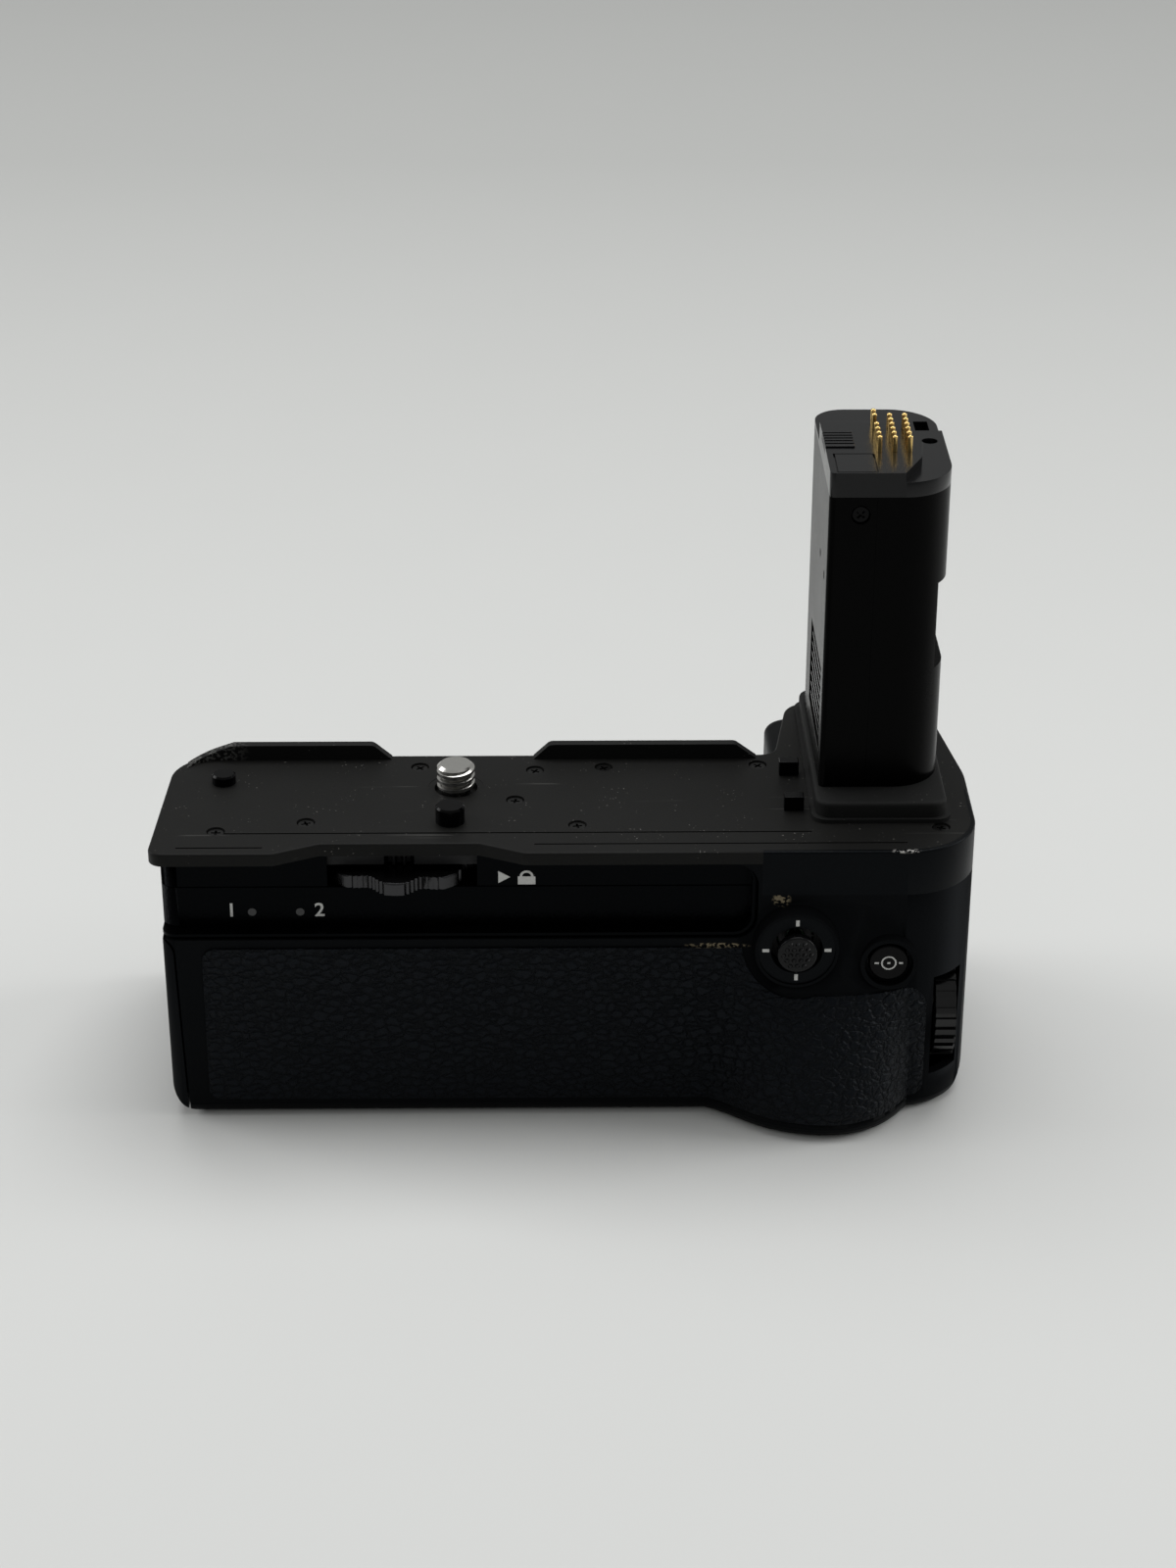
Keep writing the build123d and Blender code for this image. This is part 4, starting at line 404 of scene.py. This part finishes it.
def leather(name):
    """Black embossed covering with pebbles, and creases darkened with painted shade."""
    finish = Finish(name)
    push = finish.node("ShaderNodeTexNoise", None, output=1, Vector=finish.where, Scale=PUSH_SCALE,
                       Detail=2.0)
    centred = finish.node("ShaderNodeVectorMath", {"operation": "SUBTRACT"}, push, (0.5, 0.5, 0.5))
    small = finish.node("ShaderNodeVectorMath", {"operation": "SCALE"}, centred, Scale=PUSH_MM * MM)
    where = finish.node("ShaderNodeVectorMath", {"operation": "ADD"}, finish.where, small)
    stretched = finish.node("ShaderNodeMapping", None, where, Rotation=(0, PEBBLE_LEAN, 0),
                            Scale=PEBBLE_STRETCH)
    cells = finish.node("ShaderNodeTexVoronoi", {"feature": "DISTANCE_TO_EDGE"}, Vector=stretched,
                        Scale=1 / (CELL_MM * MM))
    fine = finish.node("ShaderNodeTexVoronoi", {"feature": "F1"}, Vector=where,
                       Scale=1 / (FINE_CELL_MM * MM))
    pebble = cells.above(edge=0.10, soft=0.20)
    pores = finish.noise(grain_mm=0.25)
    relief = pebble * 0.7 + (1 - fine) * 0.35 + pores * 0.12
    # Dark in the creases, lighter on the pebble tops: painted shade in the creases.
    tone = finish.blend(pebble, (0.0004, 0.0004, 0.0006), (0.0014, 0.0017, 0.0028))
    tone = worn(finish, [EDGE_CRUMBS], CRUMB_TONE, tone)
    finish.feed("Specular IOR Level", 0.12)
    finish.feed("Specular Tint", COOL_SHEEN)
    finish.feed("Base Color", tone)
    finish.feed("Roughness", 0.56 - pebble * 0.16)
    finish.feed("Normal", finish.height(relief, depth_mm=0.34))
    return finish


finishes["leather"] = leather("embossed_covering")
print("leather ready")

# %% [markdown]
# The metal pieces are the only bright spots. Turned steel keeps fine rings round its axis; at this size
# a little streaked roughness is enough. Brass and gold take their colour in the reflection, so they are
# fully metallic. The boards, film, lenses and print need no more than a light mottle.

# %% Metals and the small finishes
METAL_STREAK = (1, 1, 6)
METAL_DEPTH_MM = 0.004


def surface(finish, grain, colour, rough, low_share, rough_grain):
    """Feeds a mottled tone, an uneven roughness and a shallow bump to a finish."""
    finish.feed("Base Color", finish.blend(grain, [c * low_share for c in colour], colour))
    finish.feed("Roughness", grain * rough_grain + (rough - rough_grain / 2))
    finish.feed("Normal", finish.height(grain, METAL_DEPTH_MM))


def metal(name, colour, rough):
    """A bright metal with a slightly uneven polish."""
    finish = Finish(name)
    streak = finish.node("ShaderNodeMapping", None, finish.where, Scale=METAL_STREAK)
    grain = finish.noise(grain_mm=0.25, where=streak)
    finish.feed("Metallic", 1.0)
    surface(finish, grain, colour, rough, low_share=0.82, rough_grain=0.12)
    return finish


def plain(name, colour, rough):
    """A lightly mottled plastic, print or film."""
    finish = Finish(name)
    surface(finish, finish.noise(grain_mm=0.4), colour, rough, low_share=0.8, rough_grain=0.1)
    return finish


finishes["steel"] = metal("turned_steel", (0.66, 0.65, 0.62), rough=0.24)
finishes["dark_steel"] = metal("blackened_steel", (0.030, 0.030, 0.031), rough=0.38)
finishes["satin"] = metal("anodised_wheel", (0.050, 0.050, 0.052), rough=0.24)
finishes["brass"] = metal("turned_brass", (0.60, 0.45, 0.20), rough=0.32)
finishes["gold"] = metal("gold_plate", (0.83, 0.58, 0.22), rough=0.20)
finishes["board"] = plain("circuit_board", (0.02, 0.10, 0.04), rough=0.40)
finishes["ribbon"] = plain("ribbon_film", (0.40, 0.17, 0.03), rough=0.35)
finishes["lens"] = plain("smoked_lens", (0.014, 0.014, 0.015), rough=0.15)
finishes["print"] = plain("white_print", (0.62, 0.62, 0.60), rough=0.55)
print("finishes", len(finishes))

# %% [markdown]
# Every solid gets its finish by name. The list says once which pieces share one, so a change of finish
# is a change in one place.

# %% Dress the solids
DRESS = {
    "rear_shell": "rear_shell",
    "recess": "recess_panel",
    "shell": "front_shell base_cover tray_door joystick_ring",
    "cover": "control_cover",
    "plate": "top_plate screw_bush",
    "rubber": "stem_collar",
    "lip": "front_lips",
    "satin": "lock_wheel",
    "leather": "rear_leather front_leather",
    "control": "joystick_cap shutter_lock_lever low_end_button high_end_button door_latch",
    "dial": "rear_dial front_dial",
    "stem": "stem_left_shell stem_right_shell",
    "cap": "stem_cap contact_block rib_block",
    "gloss": "shutter_button function_button lock_lugs left_locating_pin centre_locating_pin stem_screw",
    "screw": "plate_screws base_screws",
    "inner": "battery_bay battery_tray bay_connector button_switches inner_frame lock_bracket "
             "rear_dial_bracket front_dial_bracket joystick_module",
    "dark_steel": "wheel_gear screw_gear joystick_gimbal joystick_post",
    "steel": "tripod_screw wheel_spindle rear_dial_axle front_dial_axle",
    "brass": "tripod_socket",
    "gold": "contact_pins tray_terminals",
    "board": "control_board side_board main_board contact_board",
    "ribbon": "stem_ribbon",
    "lens": "lamp_lenses",
}
dressed = set()
for finish_name, node_names in DRESS.items():
    for node_name in node_names.split():
        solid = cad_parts[node_name]
        solid.data.materials.clear()
        solid.data.materials.append(finishes[finish_name].material)
        dressed.add(node_name)
print("dressed", len(dressed), "left", sorted(set(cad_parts) - dressed))

# %% [markdown]
# A moulded edge is never sharp: it catches a thin line of light. The solids' edges are sharp, so each
# visible one gets a small live bevel after its loose triangles are welded together. Small and thin
# pieces get a narrower one.

# %% Soft edges
WELD_MM = 0.002
SHARP_ANGLE = 35
EDGES = {
    0.18: "rear_shell front_shell top_plate tray_door control_cover stem_cap stem_left_shell",
    0.15: "front_lips lock_wheel rear_leather front_leather lock_lugs rib_block",
}


def soften(node_name, width_mm):
    """A small rounded edge on a solid."""
    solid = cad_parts[node_name]
    weld = solid.modifiers.new("weld", "WELD")
    weld.merge_threshold = WELD_MM * MM
    bevel = solid.modifiers.new("edge", "BEVEL")
    bevel.width = width_mm * MM
    bevel.segments = 2
    bevel.limit_method = "ANGLE"
    bevel.angle_limit = math.radians(SHARP_ANGLE)
    bevel.use_clamp_overlap = True
    bevel.harden_normals = False


for edge_width, node_names in EDGES.items():
    for node_name in node_names.split():
        soften(node_name, edge_width)
    print("edges of", edge_width, "mm on", len(node_names.split()), "pieces")

# %% [markdown]
# The printed marks are new pieces. Each is built in a bmesh, where it lies on the grip, and its object
# stays at the origin. One helper turns the bmesh into a piece that rides on a body of the frame. The
# other adds a block with all its edges bevelled, which most marks are made of.

# %% Helpers for new pieces
def linked(name, work, finish, body):
    """Turns a finished bmesh into a piece that rides on a body."""
    mesh = bpy.data.meshes.new(name)
    work.to_mesh(mesh)
    work.free()
    piece = bpy.data.objects.new(name, mesh)
    bpy.context.scene.collection.objects.link(piece)
    mesh.materials.append(finish.material)
    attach(piece, body)
    print(name, len(mesh.polygons), "faces")
    return piece


def bar(work, centre, size, round_mm, turn=None):
    """A block with rounded edges, added to a bmesh."""
    made = bmesh.ops.create_cube(work, size=1)
    bmesh.ops.scale(work, vec=Vector(size) * MM, verts=made["verts"])
    edges = {edge for vert in made["verts"] for edge in vert.link_edges}
    result = bmesh.ops.bevel(work, geom=list(edges), offset=round_mm * MM, offset_type="OFFSET",
                             segments=3, profile=0.5, affect="EDGES", clamp_overlap=True, material=-1)
    rounded = {vert for face in result["faces"] for vert in face.verts}
    verts = list(rounded | {vert for vert in made["verts"] if vert.is_valid})
    if turn:
        bmesh.ops.rotate(work, cent=(0, 0, 0), matrix=turn, verts=verts)
    bmesh.ops.translate(work, vec=centre, verts=verts)


print("piece helpers ready")

# %% [markdown]
# The white ticks round the joystick are paint in small slots. Each is one such block, let into the ring
# so that it stands only a hair proud. Making one and turning it about the joystick's axis gives all
# four.

# %% Joystick ticks
STICK_ACROSS = 38.0
STICK_UP = 32.8
TICK_FACE = -2.42
TICK_OUT = 5.1
TICK_SIZE = (1.15, 0.12, 0.6)

ticks = bmesh.new()
for quarter in range(4):
    angle = math.radians(90 * quarter)
    across = STICK_ACROSS + TICK_OUT * math.cos(angle)
    up = STICK_UP + TICK_OUT * math.sin(angle)
    bar(ticks, place(across, TICK_FACE, up), TICK_SIZE, round_mm=0.05, turn=Matrix.Rotation(-angle, 3, "Y"))
linked("joystick_ticks", ticks, finishes["print"], "grip")

# %% [markdown]
# The recess carries printed marks: a number beside each lamp, and an arrow head that shows the way to
# lock. Numbers come from a text object. It is turned into a mesh first, and then placed, because the
# finished piece must sit at the origin with its place in its mesh.

# %% Lamp numbers
NUMBER_HEIGHT = 2.5
NUMBER_FACE = 3.19
NUMBER_UP = 37.6
SIZE_PER_HEIGHT = 1.4
PRINT_THICKNESS = 0.02
PRINT_SWELL = 0.05


def flat_text(name, words, height_mm, middle, body):
    """Plain numbers as a thin print, facing the user."""
    curve = bpy.data.curves.new(name, "FONT")
    curve.body = words
    curve.size = height_mm * MM * SIZE_PER_HEIGHT
    curve.extrude = PRINT_THICKNESS * MM
    curve.offset = PRINT_SWELL * MM
    curve.align_x = "CENTER"
    curve.align_y = "CENTER"
    source = bpy.data.objects.new(name + "_source", curve)
    bpy.context.scene.collection.objects.link(source)
    graph = bpy.context.evaluated_depsgraph_get()
    mesh = bpy.data.meshes.new_from_object(source.evaluated_get(graph))
    bpy.data.objects.remove(source)
    mesh.transform(Matrix.Translation(middle) @ Matrix.Rotation(math.radians(90), 4, "X"))
    work = bmesh.new()
    work.from_mesh(mesh)
    bpy.data.meshes.remove(mesh)
    return linked(name, work, finishes["print"], body)


for number_name, words, across in (("lamp_number_one", "1", -54.9), ("lamp_number_two", "2", -40.4)):
    flat_text(number_name, words, NUMBER_HEIGHT, place(across, NUMBER_FACE, NUMBER_UP), "grip")

# %% [markdown]
# Two more shapes are needed: a flat arrow head and a flat hoop. The arrow head is a circle of three
# corners, extruded. The hoop is a small outline spun about the viewing direction, through half a turn
# for a bow or through a full turn for a ring, whose first and last outlines are then merged.

# %% Arrow head and hoop
FULL_TURN = 2 * math.pi
ARROW_THICKNESS = 0.05


def arrow_head(work, centre, radius_mm):
    """A flat triangle that points to the right."""
    made = bmesh.ops.create_circle(work, cap_ends=True, segments=3, radius=radius_mm * MM)
    turn = Matrix.Rotation(math.radians(90), 3, "X") @ Matrix.Rotation(math.radians(-90), 3, "Z")
    bmesh.ops.rotate(work, cent=(0, 0, 0), matrix=turn, verts=made["verts"])
    faces = list({face for vert in made["verts"] for face in vert.link_faces})
    raised = bmesh.ops.extrude_face_region(work, geom=faces)
    top = [item for item in raised["geom"] if isinstance(item, bmesh.types.BMVert)]
    bmesh.ops.translate(work, vec=(0, -ARROW_THICKNESS * MM, 0), verts=top)
    bmesh.ops.translate(work, vec=centre, verts=list({*made["verts"], *top}))


def hoop(work, centre, radius_mm, width_mm, depth_share, sides, sweep, steps):
    """A flat ring, or the upper part of one, that faces the user."""
    before = set(work.verts)
    made = bmesh.ops.create_circle(work, cap_ends=False, segments=sides, radius=width_mm * MM / 2)
    bmesh.ops.scale(work, vec=(1, depth_share, 1), verts=made["verts"])
    bmesh.ops.translate(work, vec=(radius_mm * MM, 0, 0), verts=made["verts"])
    edges = list({edge for vert in made["verts"] for edge in vert.link_edges})
    closed = sweep == FULL_TURN
    bmesh.ops.spin(work, geom=list(made["verts"]) + edges, cent=(0, 0, 0), axis=(0, -1, 0), angle=sweep,
                   steps=steps, use_merge=closed, dvec=(0, 0, 0))
    if closed:
        new = [vert for vert in work.verts if vert not in before]
        bmesh.ops.remove_doubles(work, verts=new, dist=1e-6)
    bmesh.ops.translate(work, vec=centre, verts=[vert for vert in work.verts if vert not in before])


print("mark helpers ready")

# %% [markdown]
# The lock mark is a small arrow head and a plain padlock: a rounded block with a bow on top.

# %% Lock mark
ARROW_PLACE = (-10.3, 3.4, 43.6)
ARROW_RADIUS = 1.3
PADLOCK_PLACE = (-6.3, 3.39, 42.95)
PADLOCK_SIZE = (2.9, 0.08, 1.5)
BOW_PLACE = (-6.3, 3.38, 43.65)
BOW_RADIUS = 0.95
BOW_WIDTH = 0.42

mark = bmesh.new()
arrow_head(mark, place(*ARROW_PLACE), ARROW_RADIUS)
bar(mark, place(*PADLOCK_PLACE), PADLOCK_SIZE, round_mm=0.03)
hoop(mark, place(*BOW_PLACE), BOW_RADIUS, BOW_WIDTH, depth_share=0.2, sides=8, sweep=FULL_TURN / 2, steps=12)
bmesh.ops.recalc_face_normals(mark, faces=mark.faces)
linked("lock_mark", mark, finishes["print"], "grip")

# %% [markdown]
# The function button carries a focus mark: a dot in a ring, with a short dash on each side. It rides on
# the button's own body, so it goes in with the button when that is pressed.

# %% Function mark
BUTTON_ACROSS = 53.3
BUTTON_UP = 29.9
MARK_FACE = -1.71
RING_RADIUS = 1.15
RING_WIDTH = 0.26
DASH_OUT = 2.0
DASH_LENGTH = 0.7
DOT_LENGTH = 0.5
DASH_THICKNESS = 0.07
DASH_HEIGHT = 0.34

sign = bmesh.new()
hoop(sign, place(BUTTON_ACROSS, MARK_FACE, BUTTON_UP), RING_RADIUS, RING_WIDTH, depth_share=0.25, sides=4,
     sweep=FULL_TURN, steps=40)
for offset, length in ((-DASH_OUT, DASH_LENGTH), (DASH_OUT, DASH_LENGTH), (0.0, DOT_LENGTH)):
    middle = place(BUTTON_ACROSS + offset, MARK_FACE, BUTTON_UP)
    bar(sign, middle, (length, DASH_THICKNESS, DASH_HEIGHT), round_mm=0.02)
bmesh.ops.recalc_face_normals(sign, faces=sign.faces)
linked("focus_mark", sign, finishes["print"], "function_key")

# %% [markdown]
# The stem's left side has a sunk panel. A few thin raised lines fill it, so that it doesn't look
# unfinished. They are moulded with the stem, so they have the cap's plain black.

# %% Panel lines
LINE_COUNT = 7
LINE_PITCH = 1.85
LINE_START = (42.56, 30.75, 60.0)
LINE_SIZE = (0.3, 17.0, 0.5)

lines = bmesh.new()
for row in range(LINE_COUNT):
    across, back, up = LINE_START
    bar(lines, place(across, back, up + row * LINE_PITCH), LINE_SIZE, round_mm=0.04)
linked("label_lines", lines, finishes["cap"], "grip")

# %% [markdown]
# The grip stands on a pale table. The floor is one big plane whose colour darkens slowly with
# distance, as the photograph's background does; this darkening is painted shade of the light falling
# off, and the table itself is evenly pale. From here on, places are in metres, straight in the frame.

# %% Floor
NEAR_TONE = (0.595, 0.60, 0.59)
FAR_TONE = (0.425, 0.43, 0.42)
FADE_MIDDLE = 0.28
FADE_LENGTH = 0.5
FLOOR_SIZE = 4


def floor_finish():
    """A pale matt table, painted darker away from the camera as painted shade."""
    finish = Finish("pale_table")
    # The far tone is darker as painted shade: the lamps' light falling off with distance, not a darker table.
    away = finish.axis(1).above(FADE_MIDDLE, FADE_LENGTH)
    finish.feed("Base Color", finish.blend(away, NEAR_TONE, FAR_TONE))
    finish.feed("Roughness", finish.noise(grain_mm=30.0) * 0.1 + 0.5)
    finish.feed("Specular IOR Level", 0.3)
    return finish


floor_work = bmesh.new()
bmesh.ops.create_grid(floor_work, x_segments=1, y_segments=1, size=FLOOR_SIZE)
floor_mesh = bpy.data.meshes.new("floor")
floor_work.to_mesh(floor_mesh)
floor_work.free()
floor = bpy.data.objects.new("floor", floor_mesh)
bpy.context.scene.collection.objects.link(floor)
floor_mesh.materials.append(floor_finish().material)
print("floor made")

# %% [markdown]
# Soft light keeps black plastic readable. One large lamp hangs over and behind the grip, so that faces
# turned up are lighter than faces turned to the camera. A weaker one on the left gives the stem's side
# its bright sheen, and another on the right lights the near right corner. The world fills in the rest.

# %% Lamps and world
ROOM_TONE = (0.80, 0.81, 0.80, 1)
ROOM_STRENGTH = 0.40


def lamp(name, centre, target, size, watts):
    """A square soft lamp that looks at a target."""
    data = bpy.data.lights.new(name, "AREA")
    data.shape = "RECTANGLE"
    data.size, data.size_y = size
    data.energy = watts
    made = bpy.data.objects.new(name, data)
    bpy.context.scene.collection.objects.link(made)
    made.location = centre
    made.rotation_mode = "QUATERNION"
    made.rotation_quaternion = (Vector(target) - Vector(centre)).to_track_quat("-Z", "Y")
    return made


lamp("top_lamp", centre=(0.05, 0.30, 1.1), target=(0, 0.02, 0), size=(1.0, 0.8), watts=9.5)
lamp("left_lamp", centre=(-1.1, 0.30, 0.55), target=(0, 0, 0.06), size=(0.7, 0.6), watts=6.0)
lamp("right_lamp", centre=(1.2, 0.15, 0.6), target=(0, 0, 0.05), size=(0.6, 0.6), watts=6.5)

world = bpy.data.worlds.new("room")
bpy.context.scene.world = world
world.use_nodes = True
world.node_tree.nodes["Background"].inputs["Color"].default_value = ROOM_TONE
world.node_tree.nodes["Background"].inputs["Strength"].default_value = ROOM_STRENGTH
bpy.context.scene.view_settings.view_transform = "Standard"
print("lit")
